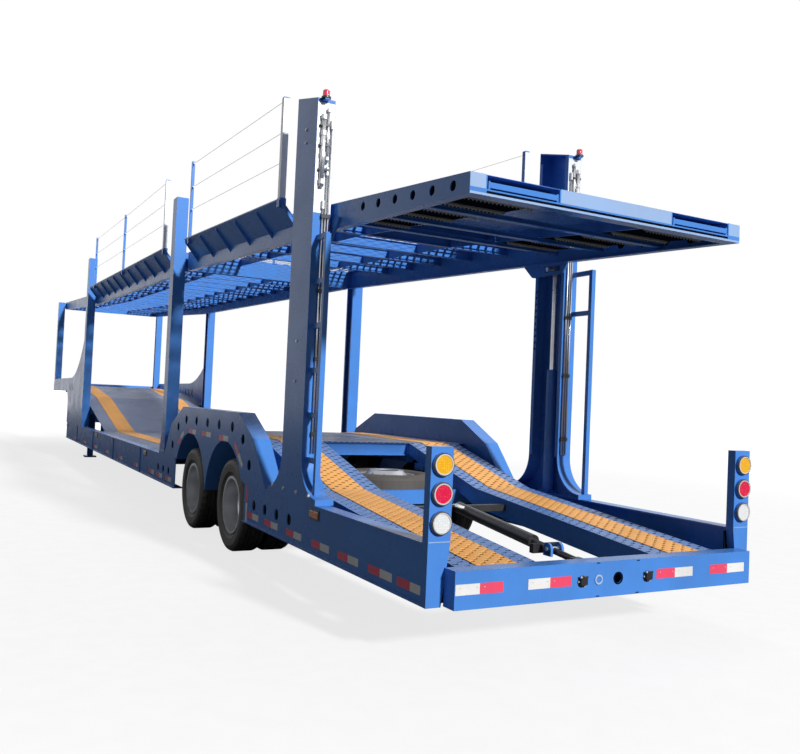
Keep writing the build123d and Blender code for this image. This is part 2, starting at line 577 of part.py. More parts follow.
with BuildPart() as ladders:
    stile_at, stile = 1770.0, 38.0
    bar((at(stile_at - stile / 2), at(stile_at + stile / 2)), (1200 - stile / 2, 1200 + stile / 2),
        (RAIL_TOP, 2610.0))
    for i in range(6):
        high = 960.0 + i * 325.0
        bar((at(stile_at), rear_x), (1185, 1215), (high, high + 38))
    right_stile = 1690.0
    bar((at(right_stile - stile / 2), at(right_stile + stile / 2)),
        (-1200 - stile / 2, -1200 + stile / 2), (RAIL_TOP, 2610.0))
    for high in (2230.0, 2572.0):
        bar((at(right_stile), rear_x), (-1215, -1185), (high, high + 38))
    extrude(column_outline(), amount=WIDTH, mode=Mode.SUBTRACT)
save(ladders, "ladders")

# ---- spare wheel -------------------------------------------------------------------------------
TYRE_SIDE = [              # radius, half-width
    (RIM_R, 94.0), (264.0, 94.0), (300.0, 115.0), (345.0, 124.0),
    (388.0, 118.0), (410.0, 102.0), (TYRE_R, 80.0),
]


def tyre(middle, axis):
    """Tyre as a ring about an axis, from its half section."""
    with BuildSketch(Plane.XZ) as tyre_face:
        with BuildLine():
            Polyline(*[(r, w) for r, w in TYRE_SIDE], *[(r, -w) for r, w in reversed(TYRE_SIDE)],
                     close=True)
        make_face()
    ring = revolve(tyre_face.sketch, axis=Axis.Z, mode=Mode.PRIVATE)
    turn = Plane(origin=middle, z_dir=axis)
    add(ring.moved(turn.location))


def hand_holes(middle, axis):
    """Round holes through the discs of a wheel."""
    with Locations(Plane(origin=middle, z_dir=axis)):
        with PolarLocations(HAND_HOLES_AT, HAND_HOLES):
            Cylinder(HAND_HOLE_R, 2 * TWIN_PITCH, mode=Mode.SUBTRACT)


def rim(middle, axis, disc_at):
    """Wheel rim with a dished disc, whose hub face lies at disc_at along the axis."""
    bead, wall = RIM_R - FIT, 9.0
    flange = 94.0 + FIT
    with BuildSketch(Plane.XZ) as rim_face:
        with BuildLine():
            Polyline((bead - wall, -flange - 8), (bead + 14, -flange - 8), (bead + 14, -flange),
                     (bead, -flange), (bead, flange), (bead + 14, flange), (bead + 14, flange + 8),
                     (bead - wall, flange + 8), close=True)
        make_face()
        edge = disc_at * 0.35
        lift = 12 if disc_at > 0 else -12
        with BuildLine():
            Polyline((HUB_R, disc_at), (150, disc_at), (bead - wall, edge),
                     (bead - wall, edge - lift), (150, disc_at - lift), (HUB_R, disc_at - lift),
                     close=True)
        make_face()
    ring = revolve(rim_face.sketch, axis=Axis.Z, mode=Mode.PRIVATE)
    turn = Plane(origin=middle, z_dir=axis)
    add(ring.moved(turn.location))


HUB_R = 112.0
HAND_HOLES, HAND_HOLES_AT, HAND_HOLE_R = 10, 196.0, 25.0
with BuildPart() as spare_tyre:
    tyre((at(SPARE_AT), 0, SPARE_TOP - TYRE_WIDE / 2), (0, 0, 1))
save(spare_tyre, "spare_tyre")

with BuildPart() as spare_rim:
    rim((at(SPARE_AT), 0, SPARE_TOP - TYRE_WIDE / 2), (0, 0, 1), TWIN_PITCH / 2)
    hand_holes((at(SPARE_AT), 0, SPARE_TOP), (0, 0, 1))
save(spare_rim, "spare_rim")

# ---- axles and springs -------------------------------------------------------------------------
hub_low = TWIN_AT - 245.0
hub_high = TWIN_AT + 120.0
across = (0, 1, 0)
with BuildPart() as axles:
    for along in AXLES:
        middle = Plane(origin=(at(along), 0, AXLE_HIGH), z_dir=across)
        with Locations(middle):
            Cylinder(AXLE_TUBE_R, 2 * (hub_low - 5))
            Cylinder(SPINDLE_R, 2 * (hub_high - 45))
            Cylinder(AXLE_TUBE_R + 60, 2 * (hub_low - 45))
            Cylinder(AXLE_TUBE_R + 61, 2 * (hub_low - 75), mode=Mode.SUBTRACT)
            Cylinder(AXLE_TUBE_R, 2 * (hub_low - 75))
save(axles, "axles")

SPRING_HALF = 590.0
SPRING_RISE = 95.0
with BuildPart() as springs:
    seat = AXLE_HIGH + AXLE_TUBE_R
    for along in AXLES:
        with BuildSketch(Plane.XZ.offset(-(STRINGER_AT + 38))) as leaf:
            with BuildLine():
                ThreePointArc((at(along - SPRING_HALF), seat + 40 + SPRING_RISE), (at(along), seat + 20),
                              (at(along + SPRING_HALF), seat + 40 + SPRING_RISE))
                Line((at(along + SPRING_HALF), seat + 40 + SPRING_RISE),
                     (at(along + SPRING_HALF), seat + 60 + SPRING_RISE))
                ThreePointArc((at(along + SPRING_HALF), seat + 60 + SPRING_RISE),
                              (at(along), seat + 72), (at(along - SPRING_HALF), seat + 60 + SPRING_RISE))
                Line((at(along - SPRING_HALF), seat + 60 + SPRING_RISE),
                     (at(along - SPRING_HALF), seat + 40 + SPRING_RISE))
            make_face()
        extrude(leaf.sketch, amount=76)
        bar((at(along - 70), at(along + 70)), (STRINGER_AT - 45, STRINGER_AT + 45), (AXLE_HIGH + 10, seat + 40))
        with Locations(Plane(origin=(at(along), STRINGER_AT, AXLE_HIGH), z_dir=(0, 1, 0))):
            Cylinder(AXLE_TUBE_R, 200, mode=Mode.SUBTRACT)
    gap = AXLES[1] - AXLES[0]
    for along, long, top in ((HANGER_AT, 130.0, HANGER_TOP), (FRONT_HANGER, 130.0, FRONT_HANGER_TOP),
                             (AXLES[0] + gap / 2, gap - 2 * SPRING_HALF + 100, axle_low)):
        for y in (STRINGER_AT - 50, STRINGER_AT + 38):
            bar((at(along - long / 2), at(along + long / 2)), (y, y + 12),
                (AXLE_HIGH + AXLE_TUBE_R + 90, top))
        bar((at(along - long / 2), at(along + long / 2)), (STRINGER_AT - 50, STRINGER_AT + 50),
            (top - 14, top))
    mirror(about=Plane.XZ)
save(springs, "springs")

# ---- wheels: each pair of tyres with its rims and hub is one body ------------------------------
for place, along in zip(("rear", "front"), AXLES):
    for side, sign in SIDES:
        axis = (0, sign, 0)
        with BuildPart() as tyres:
            for shift in (-TWIN_PITCH / 2, TWIN_PITCH / 2):
                tyre((at(along), sign * (TWIN_AT + shift), AXLE_HIGH), axis)
        save(tyres, f"tyres_{place}_{side}")
        with BuildPart() as rims:
            rim((at(along), sign * (TWIN_AT + TWIN_PITCH / 2), AXLE_HIGH), axis, -TWIN_PITCH / 2)
            rim((at(along), sign * (TWIN_AT - TWIN_PITCH / 2), AXLE_HIGH), axis, TWIN_PITCH / 2)
            hand_holes((at(along), sign * TWIN_AT, AXLE_HIGH), axis)
            with Locations(Plane(origin=(at(along), sign * hub_low, AXLE_HIGH), z_dir=axis)):
                grow = (Align.CENTER, Align.CENTER, Align.MIN)
                Cylinder(HUB_R + 1, hub_high - hub_low, align=grow)
                Cylinder(165, 150, align=grow)
                Cylinder(SPINDLE_R + FIT, hub_high - hub_low - 30, align=grow, mode=Mode.SUBTRACT)
        save(rims, f"rims_{place}_{side}")

# ---- cylinder of the folding tail, under the rear deck -----------------------------------------
with BuildPart() as tail_cylinder:
    rear_end, front_end = (at(390.0), 0, 480.0), (at(1790.0), 0, 632.0)
    run = Vector(*front_end) - Vector(*rear_end)
    line = Plane(origin=rear_end, z_dir=tuple(run))
    grow = (Align.CENTER, Align.CENTER, Align.MIN)
    with Locations(line):
        Cylinder(22, run.length, align=grow)
    with Locations(line.offset(run.length * 0.3)):
        Cylinder(45, run.length * 0.7 - 30, align=grow)
    bar((at(660), at(700)), (-120, 120), (478, 538))
    bar((at(1770), at(1830)), (-TRACK_IN, TRACK_IN), (590, 640))
    bar((at(BEAM_DEEP), at(400)), (-35, 35), (462, 498))
save(tail_cylinder, "tail_cylinder")

# ---- upper deck --------------------------------------------------------------------------------
deck_web = DECK_HALF - DECK_BEAM_WALL
deck_lip = DECK_HALF - DECK_FLANGE


def under(line, deep):
    """A bent line lowered by one depth."""
    return [(along, high - deep) for along, high in line]


def deck_sides(top, low):
    """Channel side beams of an upper deck, for the left side."""
    channel(top + low[::-1], DECK_HALF, deck_lip, DECK_BEAM_WALL)


def deck_members(line, places, high):
    """Cross members between the side beams of an upper deck."""
    cross_members(line, places, DECK_CROSS_WIDE, high, DECK_CROSS_WALL, deck_web)


def lug(middle_x, end_x, y):
    """Hinge ear round the deck's hinge, reaching to an end plate."""
    with BuildSketch(Plane.XZ.offset(-y[1])) as ear:
        with Locations((at(middle_x), HINGE_HIGH)):
            Circle(HINGE_EAR_R)
        with Locations((at((middle_x + end_x) / 2), HINGE_HIGH)):
            Rectangle(abs(end_x - middle_x), 2 * HINGE_EAR_R)
    extrude(ear.sketch, amount=y[1] - y[0])


EARS = [(DECK_HALF - 62, DECK_HALF - 46), (DECK_HALF - 40, DECK_HALF - 24),
        (DECK_HALF - 18, DECK_HALF - 2)]     # fixed ear, moving ear, fixed ear

with BuildPart() as front_deck_frame:
    deck_sides(FRONT_TOP, FRONT_LOW)
    rear_end, front_end = FRONT_TOP[0][0], FRONT_TOP[-1][0]
    under_sheet = under(FRONT_TOP, DECK_SHEET)
    bar((at(rear_end), at(rear_end + 10)), (0, deck_web), (FRONT_LOW[0][1] + 8, FRONT_TOP[0][1] - 8))
    bar((at(front_end - 10), at(front_end)), (0, deck_web), (FRONT_LOW[-1][1], FRONT_TOP[-1][1] - 8))
    deck_members(under_sheet, [rear_end + 340 + i * DECK_CROSS_PITCH for i in range(19)], DECK_CROSS_HIGH)
    inner = cut_line(under_sheet, rear_end, front_end)
    band(inner, DECK_CROSS_HIGH, (DECK_TRACK_IN, DECK_TRACK_IN + 8))
    for ear in (EARS[0], EARS[2]):
        lug(HINGE_AT, rear_end, ear)
    with Locations(Plane(origin=(at(HINGE_AT), DECK_HALF - 62, HINGE_HIGH), z_dir=(0, 1, 0))):
        Cylinder(HINGE_PIN_R, 60, align=(Align.CENTER, Align.CENTER, Align.MIN))
    for along, high in ((6405.0, 2940.0), (13250.0, 3080.0), (13415.0, 3080.0), (18120.0, 3340.0)):
        bar((at(along), at(along + 35)), (DECK_HALF, column_in), (high, high + 130))
    mirror(about=Plane.XZ)
save(front_deck_frame, "front_deck_frame")

with BuildPart() as front_deck_floor:
    band([(along, high) for along, high in cut_line(FRONT_TOP, FRONT_TOP[0][0] + 10, LENGTH - 10)],
         DECK_SHEET, (DECK_TRACK_IN, deck_lip))
    mirror(about=Plane.XZ)
save(front_deck_floor, "front_deck_floor")

# The rear deck carries two ramps in pockets under its tracks.
tail_line = REAR_TOP[:2]
pocket_front = BEAM_DEEP + RAMP_LONG + 40
runner_drop = REAR_TOP[0][1] - POCKET_LOW
ceiling_drop = REAR_TOP[0][1] - POCKET_HIGH
with BuildPart() as rear_deck_frame:
    deck_sides(REAR_TOP, REAR_LOW)
    tail, head = REAR_TOP[0][0], REAR_TOP[-1][0]
    under_sheet = under(REAR_TOP, DECK_SHEET)
    bar((at(head - 10), at(head)), (0, deck_web), (REAR_LOW[-1][1] + 8, REAR_TOP[-1][1] - 8))
    deck_members(under_sheet, [pocket_front + 110 + i * DECK_CROSS_PITCH for i in range(6)], DECK_CROSS_HIGH)
    band(cut_line(under_sheet, pocket_front, head), DECK_CROSS_HIGH, (DECK_TRACK_IN, DECK_TRACK_IN + 8))
    pocket = cut_line(REAR_TOP, tail, pocket_front)
    for y in ((POCKET_IN - 8, POCKET_IN), (POCKET_OUT, POCKET_OUT + 8)):
        band(under(pocket, DECK_SHEET), runner_drop - DECK_SHEET, y)
    band(under(pocket, runner_drop), 6, (POCKET_IN - 8, POCKET_OUT + 8))
    band(under(cut_line(REAR_TOP, pocket_front - 8, pocket_front), DECK_SHEET),
         runner_drop - DECK_SHEET, (POCKET_IN, POCKET_OUT))
    deck_members(under(REAR_TOP, runner_drop + 2), (800.0, 1450.0, pocket_front - 30), 34)
    plate([(tail, REAR_LOW[0][1]), (tail, POCKET_LOW), (tail + 100, POCKET_LOW + 5),
           (tail + 100, REAR_LOW[0][1] + 5)], (0, deck_web))
    plate([(tail, POCKET_LOW), (tail, REAR_TOP[0][1]), (tail + 8, REAR_TOP[0][1]),
           (tail + 8, POCKET_LOW)], (0, POCKET_IN - 8))
    plate([(tail, POCKET_LOW), (tail, REAR_TOP[0][1]), (tail + 8, REAR_TOP[0][1]),
           (tail + 8, POCKET_LOW)], (POCKET_OUT + 8, DECK_HALF))
    lug(HINGE_AT, head, EARS[1])
    with Locations(Plane(origin=(at(HINGE_AT), EARS[1][0] - 1, HINGE_HIGH), z_dir=(0, 1, 0))):
        Cylinder(HINGE_PIN_R + FIT, 18, align=(Align.CENTER, Align.CENTER, Align.MIN),
                 mode=Mode.SUBTRACT)
    slope = (REAR_TOP[1][1] - REAR_TOP[0][1]) / (REAR_TOP[1][0] - REAR_TOP[0][0])
    holes([(LIGHTENING_FIRST + i * LIGHTENING_PITCH, 2664.0 + i * 20.4)
           for i in range(LIGHTENING_COUNT)], LIGHTENING / 2, (deck_web - 1, DECK_HALF + 1))
    reach = HINGE_AT - COLUMN_AT
    hang = HINGE_HIGH - LIFT_PIN_HIGH
    turn = radians(LOWERING)
    LIFT_DROP = (reach + hang * sin(turn)) * tan(turn) + hang * cos(turn) - hang
    slide_back = reach * cos(turn) + (hang + LIFT_DROP) * sin(turn) - reach
    slot_rear = COLUMN_AT - slide_back - LIFT_PIN_R - 12
    slot_front = COLUMN_AT + LIFT_PIN_R + 12
    slot_top, slot_low = LIFT_PIN_HIGH + LIFT_PIN_R + FIT, LIFT_PIN_HIGH - LIFT_PIN_R - SLOT_PLAY
    with BuildSketch(Plane.XZ.offset(-(DECK_HALF + LUG_THICK))) as saddle:
        with BuildLine():
            Polyline((at(slot_rear - LUG_EDGE), slot_low - LUG_EDGE),
                     (at(slot_rear - LUG_EDGE - SADDLE_TAIL), slot_top + 75),
                     (at(slot_front + SADDLE_NOSE), slot_top + 110),
                     (at(slot_front + SADDLE_FLAT), slot_low - LUG_EDGE), close=True)
        make_face()
        fillet(saddle.vertices().sort_by(Axis.Y)[:2], SADDLE_ROUND)
    extrude(saddle.sketch, amount=LUG_THICK)
    plate([(slot_rear, slot_low), (slot_rear, slot_top), (slot_front, slot_top),
           (slot_front, slot_low)], (DECK_HALF - 1, DECK_HALF + LUG_THICK + 1), Mode.SUBTRACT)
    mirror(about=Plane.XZ)
save(rear_deck_frame, "rear_deck_frame")

with BuildPart() as rear_deck_floor:
    band(cut_line(REAR_TOP, REAR_TOP[0][0] + 8, REAR_TOP[-1][0] - 10), DECK_SHEET,
         (DECK_TRACK_IN, deck_lip))
    mirror(about=Plane.XZ)
save(rear_deck_floor, "rear_deck_floor")

STANCHIONS = {             # deck: along, half its thickness, top
    "rear": [(2720.0, 24.0, 3875.0), (5650.0, 16.0, 4030.0)],
    "front": [(6930.0, 24.0, 4095.0), (9750.0, 16.0, 4150.0), (12600.0, 16.0, 4225.0)],
}
SOCKET = 95.0
WING_TOP = {"rear": REAR_TOP, "front": FRONT_TOP}
for deck, start, end in WINGS:
    top_line = WING_TOP[deck]
    with BuildPart() as wings:
        rise = height_on(top_line, end) - height_on(top_line, start)
        high = height_on(top_line, start)
        with BuildSketch(Plane.YZ.offset(at(start))) as wing_face:
            with BuildLine():
                Polyline((DECK_HALF, high - WING_LOW), (HALF, high + WING_RISE),
                         (HALF, high + WING_RISE + 2 * WING_SHEET),
                         (DECK_HALF, high - WING_LOW + 2 * WING_SHEET), close=True)
            make_face()
        extrude(wing_face.sketch, amount=sqrt((end - start) ** 2 + rise ** 2),
                dir=(end - start, 0, rise))
        count = round((end - start) / DECK_CROSS_PITCH)
        for i in range(count + 1):
            along = start + 10 + i * (end - start - 20) / count
            high = height_on(top_line, along)
            with BuildSketch(Plane.YZ.offset(at(along) - 3)) as gusset:
                with BuildLine():
                    Polyline((DECK_HALF, high - WING_LOW - 55), (DECK_HALF, high - WING_LOW + 5),
                             (HALF - 10, high + WING_RISE - 6), (HALF - 10, high + WING_RISE - 40),
                             close=True)
                make_face()
            extrude(gusset.sketch, amount=6)
        for along, half, top in STANCHIONS[deck]:
            high = height_on(top_line, along)
            bar((at(along - half - 6), at(along + half + 6)), (HALF - 2 * half - 12, HALF),
                (high + WING_RISE - 60, high + SOCKET))
        mirror(about=Plane.XZ)
    save(wings, f"{deck}_wings")
    with BuildPart() as stanchions:
        for along, half, top in STANCHIONS[deck]:
            bar((at(along - half), at(along + half)), (HALF - 2 * half - 6, HALF - 6),
                (height_on(top_line, along) + SOCKET, top))
        mirror(about=Plane.XZ)
    save(stanchions, f"{deck}_stanchions")

# ---- ramps that slide out of the tail ----------------------------------------------------------
ramp_y = (POCKET_IN + RAMP_SIDE_GAP, POCKET_OUT - RAMP_SIDE_GAP)
ramp_line = cut_line(REAR_TOP, BEAM_DEEP, BEAM_DEEP + RAMP_LONG)
ramp_drop = runner_drop - FIT - RAMP_THICK
for side, sign in SIDES:
    with BuildPart() as ramp:
        for y in ((ramp_y[0], ramp_y[0] + 12), (ramp_y[1] - 12, ramp_y[1])):
            band(under(ramp_line, ramp_drop), RAMP_THICK, y)
        band(under(ramp_line, ramp_drop + 6), 4, ramp_y)
        for i in range(10):
            start = BEAM_DEEP + i * (RAMP_LONG - 40) / 9
            band(under(cut_line(REAR_TOP, start, start + 40), ramp_drop + 10), RAMP_THICK - 20, ramp_y)
        if side == "right":
            mirror(about=Plane.XZ, mode=Mode.REPLACE)
    save(ramp, f"ramp_{side}")

# ---- lift cylinders in the rear columns --------------------------------------------------------
upright = (Align.CENTER, Align.CENTER, Align.MIN)
with BuildPart() as lift_barrels:
    with Locations((at(COLUMN_AT), LIFT_ACROSS, BARREL_LOW)):
        Cylinder(BARREL_R, BARREL_TOP - BARREL_LOW, align=upright)
    with Locations((at(COLUMN_AT), LIFT_ACROSS, BARREL_LOW + 20)):
        Cylinder(BORE_R, BARREL_TOP - BARREL_LOW - 60, align=upright, mode=Mode.SUBTRACT)
        Cylinder(ROD_R + FIT, BARREL_TOP - BARREL_LOW, align=upright, mode=Mode.SUBTRACT)
    bar((at(COLUMN_AT - 60), at(COLUMN_AT + 60)), (LIFT_ACROSS - 55, LIFT_ACROSS + 55),
        (RAIL_TOP + COLUMN_WALL, BARREL_LOW + 10))
    mirror(about=Plane.XZ)
save(lift_barrels, "lift_barrels")

rod_low = BARREL_LOW + 30 + LIFT_DROP
for side, sign in SIDES:
    with BuildPart() as lift_rod:
        with Locations((at(COLUMN_AT), LIFT_ACROSS, rod_low)):
            Cylinder(ROD_R, LIFT_PIN_HIGH - rod_low, align=upright)
            Cylinder(BORE_R - FIT, 36, align=upright)
        bar((at(COLUMN_AT - 45), at(COLUMN_AT + 45)),
            (DECK_HALF + LUG_THICK + LUG_GAP + 20, LIFT_ACROSS + 35),
            (LIFT_PIN_HIGH - 40, LIFT_PIN_HIGH + 45))
        with Locations(Plane(origin=(at(COLUMN_AT), DECK_HALF - 2, LIFT_PIN_HIGH), z_dir=across)):
            Cylinder(LIFT_PIN_R, LIFT_ACROSS - DECK_HALF, align=upright)
        if side == "right":
            mirror(about=Plane.XZ, mode=Mode.REPLACE)
    save(lift_rod, f"lift_rod_{side}")
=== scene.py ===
import json
from math import atan2, cos, hypot, pi, radians, sin, tan

import bmesh
import bpy
from mathutils import Matrix, Vector


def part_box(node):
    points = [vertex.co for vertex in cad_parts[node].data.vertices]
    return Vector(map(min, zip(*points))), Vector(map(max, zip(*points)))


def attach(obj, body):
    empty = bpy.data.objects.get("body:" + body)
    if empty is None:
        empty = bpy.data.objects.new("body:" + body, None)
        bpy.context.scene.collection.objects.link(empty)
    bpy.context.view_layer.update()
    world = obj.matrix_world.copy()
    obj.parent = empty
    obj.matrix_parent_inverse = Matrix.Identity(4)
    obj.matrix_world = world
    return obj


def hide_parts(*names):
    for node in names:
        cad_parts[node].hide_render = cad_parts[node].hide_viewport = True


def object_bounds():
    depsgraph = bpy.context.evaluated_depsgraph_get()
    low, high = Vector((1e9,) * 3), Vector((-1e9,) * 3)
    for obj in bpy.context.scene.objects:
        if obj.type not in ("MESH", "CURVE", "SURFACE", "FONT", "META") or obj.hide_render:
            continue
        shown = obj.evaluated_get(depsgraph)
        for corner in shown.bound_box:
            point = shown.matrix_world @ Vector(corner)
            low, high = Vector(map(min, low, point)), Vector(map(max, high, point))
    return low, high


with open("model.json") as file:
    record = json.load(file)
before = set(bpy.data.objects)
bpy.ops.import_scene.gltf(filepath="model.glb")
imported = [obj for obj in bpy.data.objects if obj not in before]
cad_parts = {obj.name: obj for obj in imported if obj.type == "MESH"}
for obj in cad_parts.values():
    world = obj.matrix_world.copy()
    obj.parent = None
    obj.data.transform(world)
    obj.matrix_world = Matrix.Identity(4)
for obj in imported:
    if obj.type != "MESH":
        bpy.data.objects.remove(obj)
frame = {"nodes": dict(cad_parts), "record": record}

# Dressing for the double-deck car carrier. Metres, +X forward, +Y to the left, +Z up.
# A place along the trailer is its distance ahead of the rear beam, turned into X by at().

CAD_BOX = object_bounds()
REAR = CAD_BOX[0][0]
HALF = CAD_BOX[1][1]
SIDES = (1, -1)              # left and right, as the sign of Y
SEAT = 0.0002                # a trim stays this far off the face behind it
CHASSIS, REAR_DECK = "chassis", "upper_rear_deck"


def at(along):
    """X of a place along the trailer, from its distance ahead of the rear face."""
    return REAR + along


# ---- shaders -------------------------------------------------------------------------
def new_group(name, inputs, outputs):
    """Shader node group with named sockets; returns it with its input and output nodes."""
    group = bpy.data.node_groups.new(name, "ShaderNodeTree")
    for label, kind, value in inputs:
        socket = group.interface.new_socket(label, in_out="INPUT", socket_type=kind)
        socket.default_value = value
    for label, kind in outputs:
        group.interface.new_socket(label, in_out="OUTPUT", socket_type=kind)
    return group, group.nodes.new("NodeGroupInput"), group.nodes.new("NodeGroupOutput")


def feed(tree, socket, value):
    """Links another node's output into a socket, or sets a plain value there."""
    if isinstance(value, bpy.types.NodeSocket):
        tree.links.new(value, socket)
    else:
        socket.default_value = value


def node(tree, kind, values=None, **settings):
    """Node of a kind, with its settings and with values or links for its input sockets."""
    made = tree.nodes.new(kind)
    for key, value in settings.items():
        setattr(made, key, value)
    for key, value in (values or {}).items():
        feed(tree, made.inputs[key], value)
    return made


def mixed(tree, factor, first, second):
    """Colour mix of two colours or sockets."""
    first_color, second_color, result = 6, 7, 2
    return node(tree, "ShaderNodeMix", {0: factor, first_color: first, second_color: second},
                data_type="RGBA").outputs[result]


def steps(tree, value, low, high, to_low=0.0, to_high=1.0):
    """Smooth step of a value between two limits."""
    return node(tree, "ShaderNodeMapRange",
                {"Value": value, "From Min": low, "From Max": high, "To Min": to_low, "To Max": to_high},
                interpolation_type="SMOOTHSTEP").outputs["Result"]


def sums(tree, operation, first, second=0.0):
    """Arithmetic of one or two values."""
    return node(tree, "ShaderNodeMath", {0: first, 1: second}, operation=operation).outputs[0]


def weathering_group():
    """Road dust that thickens low down, fine grain, faint runs and scuffs for a painted surface."""
    group, given, result = new_group(
        "road_weathering",
        [("Color", "NodeSocketColor", (0.5, 0.5, 0.5, 1)),
         ("Dust Color", "NodeSocketColor", (0.3, 0.27, 0.23, 1)),
         ("Dust", "NodeSocketFloat", 0.25), ("Scuffs", "NodeSocketFloat", 0.25),
         ("Roughness", "NodeSocketFloat", 0.35)],
        [("Color", "NodeSocketColor"), ("Roughness", "NodeSocketFloat"), ("Height", "NodeSocketFloat")])
    place = node(group, "ShaderNodeTexCoord").outputs["Object"]
    height = node(group, "ShaderNodeSeparateXYZ", {"Vector": place}).outputs["Z"]
    cloud = node(group, "ShaderNodeTexNoise",
                 {"Vector": place, "Scale": 2.3, "Detail": 7.0, "Roughness": 0.62}).outputs[0]
    grain = node(group, "ShaderNodeTexNoise",
                 {"Vector": place, "Scale": 55.0, "Detail": 4.0, "Roughness": 0.6}).outputs[0]
    flecks = node(group, "ShaderNodeTexNoise",
                  {"Vector": place, "Scale": 19.0, "Detail": 9.0, "Roughness": 0.75}).outputs[0]
    stretch = node(group, "ShaderNodeMapping", {"Vector": place, "Scale": (9.0, 9.0, 0.7)}).outputs[0]
    runs = node(group, "ShaderNodeTexNoise", {"Vector": stretch, "Scale": 2.5, "Detail": 5.0}).outputs[0]

    dusty = sums(group, "MULTIPLY", steps(group, cloud, 0.35, 0.75), 0.55)
    low_down = steps(group, height, 1.6, 0.25)
    dusty = sums(group, "ADD", dusty, sums(group, "MULTIPLY", low_down, 0.55))
    dusty = sums(group, "MULTIPLY", dusty, steps(group, runs, 0.25, 0.8, 0.45, 1.0))
    dusty = sums(group, "MULTIPLY", dusty, given.outputs["Dust"])
    scuff = sums(group, "MULTIPLY", steps(group, flecks, 0.66, 0.72), given.outputs["Scuffs"])

    color = mixed(group, steps(group, cloud, 0.3, 0.7, 0.0, 0.16), given.outputs["Color"],
                  (0.01, 0.012, 0.018, 1))
    color = mixed(group, dusty, color, given.outputs["Dust Color"])
    color = mixed(group, scuff, color, (0.34, 0.36, 0.4, 1))
    rough = sums(group, "ADD", given.outputs["Roughness"], sums(group, "MULTIPLY", dusty, 0.5))
    rough = sums(group, "ADD", rough, steps(group, cloud, 0.3, 0.7, -0.04, 0.05))
    relief = sums(group, "MULTIPLY", grain, steps(group, dusty, 0.0, 0.2, 0.15, 1.0))
    for key, value in (("Color", color), ("Roughness", rough), ("Height", relief)):
        feed(group, result.inputs[key], value)
    return group


def slot_group():
    """Mask of the staggered short slots of a grip plate, seen from above."""
    group, given, result = new_group(
        "grip_slots", [("Pitch", "NodeSocketFloat", 0.055), ("Row", "NodeSocketFloat", 0.028)],
        [("Mask", "NodeSocketFloat")])
    place = node(group, "ShaderNodeTexCoord").outputs["Object"]
    parts = node(group, "ShaderNodeSeparateXYZ", {"Vector": place})
    rows = sums(group, "DIVIDE", parts.outputs["X"], given.outputs["Row"])
    shift = sums(group, "MULTIPLY", sums(group, "FLOORED_MODULO", sums(group, "FLOOR", rows), 2.0), 0.5)
    columns = sums(group, "ADD", sums(group, "DIVIDE", parts.outputs["Y"], given.outputs["Pitch"]), shift)
    across = sums(group, "ABSOLUTE", sums(group, "SUBTRACT", sums(group, "FRACT", columns), 0.5))
    along = sums(group, "ABSOLUTE", sums(group, "SUBTRACT", sums(group, "FRACT", rows), 0.5))
    mask = sums(group, "MULTIPLY", steps(group, across, 0.34, 0.28), steps(group, along, 0.27, 0.19))
    feed(group, result.inputs["Mask"], mask)
    return group


WEATHERING = weathering_group()
SLOTS = slot_group()


def material(name, color, roughness=0.35, metallic=0.0, dust=0.25, scuffs=0.2, bump=0.0002, coat=0.0,
             gloss=0.5, dust_color=(0.30, 0.27, 0.23)):
    """Weathered surface of one colour."""
    made = bpy.data.materials.new(name)
    made.use_nodes = True
    tree = made.node_tree
    shader = tree.nodes["Principled BSDF"]
    weather = node(tree, "ShaderNodeGroup",
                   {"Color": (*color, 1), "Dust": dust, "Scuffs": scuffs, "Roughness": roughness,
                    "Dust Color": (*dust_color, 1)}, node_tree=WEATHERING)
    relief = node(tree, "ShaderNodeBump",
                  {"Height": weather.outputs["Height"], "Strength": 0.5, "Distance": bump})
    for key, value in (("Base Color", weather.outputs["Color"]), ("Roughness", weather.outputs["Roughness"]),
                       ("Normal", relief.outputs["Normal"]), ("Metallic", metallic),
                       ("Specular IOR Level", gloss), ("Coat Weight", coat), ("Coat Roughness", 0.12)):
        feed(tree, shader.inputs[key], value)
    return made


def slotted(made, pitch, row):
    """Adds a grip plate's staggered slots to a material: rougher and sunk, with painted shade darkening them.
    """
    tree = made.node_tree
    shader = tree.nodes["Principled BSDF"]
    mask = node(tree, "ShaderNodeGroup", {"Pitch": pitch, "Row": row}, node_tree=SLOTS).outputs["Mask"]
    color, rough, normal = (shader.inputs[key].links[0].from_socket
                            for key in ("Base Color", "Roughness", "Normal"))
    relief = node(tree, "ShaderNodeBump",
                  {"Height": mask, "Normal": normal, "Strength": 1.0, "Distance": 0.004}, invert=True)
    # The slots' near-black colour is painted shade in them.
    for key, value in (("Base Color", mixed(tree, mask, color, (0.006, 0.008, 0.014, 1))),
                       ("Roughness", sums(tree, "ADD", rough, sums(tree, "MULTIPLY", mask, 0.4))),
                       ("Normal", relief.outputs["Normal"])):
        feed(tree, shader.inputs[key], value)
    return made


def lens_material(name, color, deep):
    """Lamp lens over a round field of small light points, each with a bright middle."""
    made = bpy.data.materials.new(name)
    made.use_nodes = True
    tree = made.node_tree
    shader = tree.nodes["Principled BSDF"]
    place = node(tree, "ShaderNodeTexCoord").outputs["Object"]
    away = node(tree, "ShaderNodeTexVoronoi",
                {"Vector": place, "Scale": 72.0, "Randomness": 0.25}).outputs["Distance"]
    glow = steps(tree, away, 0.55, 0.12)
    relief = node(tree, "ShaderNodeBump", {"Height": glow, "Strength": 0.6, "Distance": 0.002})
    for key, value in (("Base Color", mixed(tree, glow, (*deep, 1), (*color, 1))),
                       ("Roughness", steps(tree, away, 0.1, 0.6, 0.08, 0.22)),
                       ("Normal", relief.outputs["Normal"]), ("Coat Weight", 0.6)):
        feed(tree, shader.inputs[key], value)
    return made


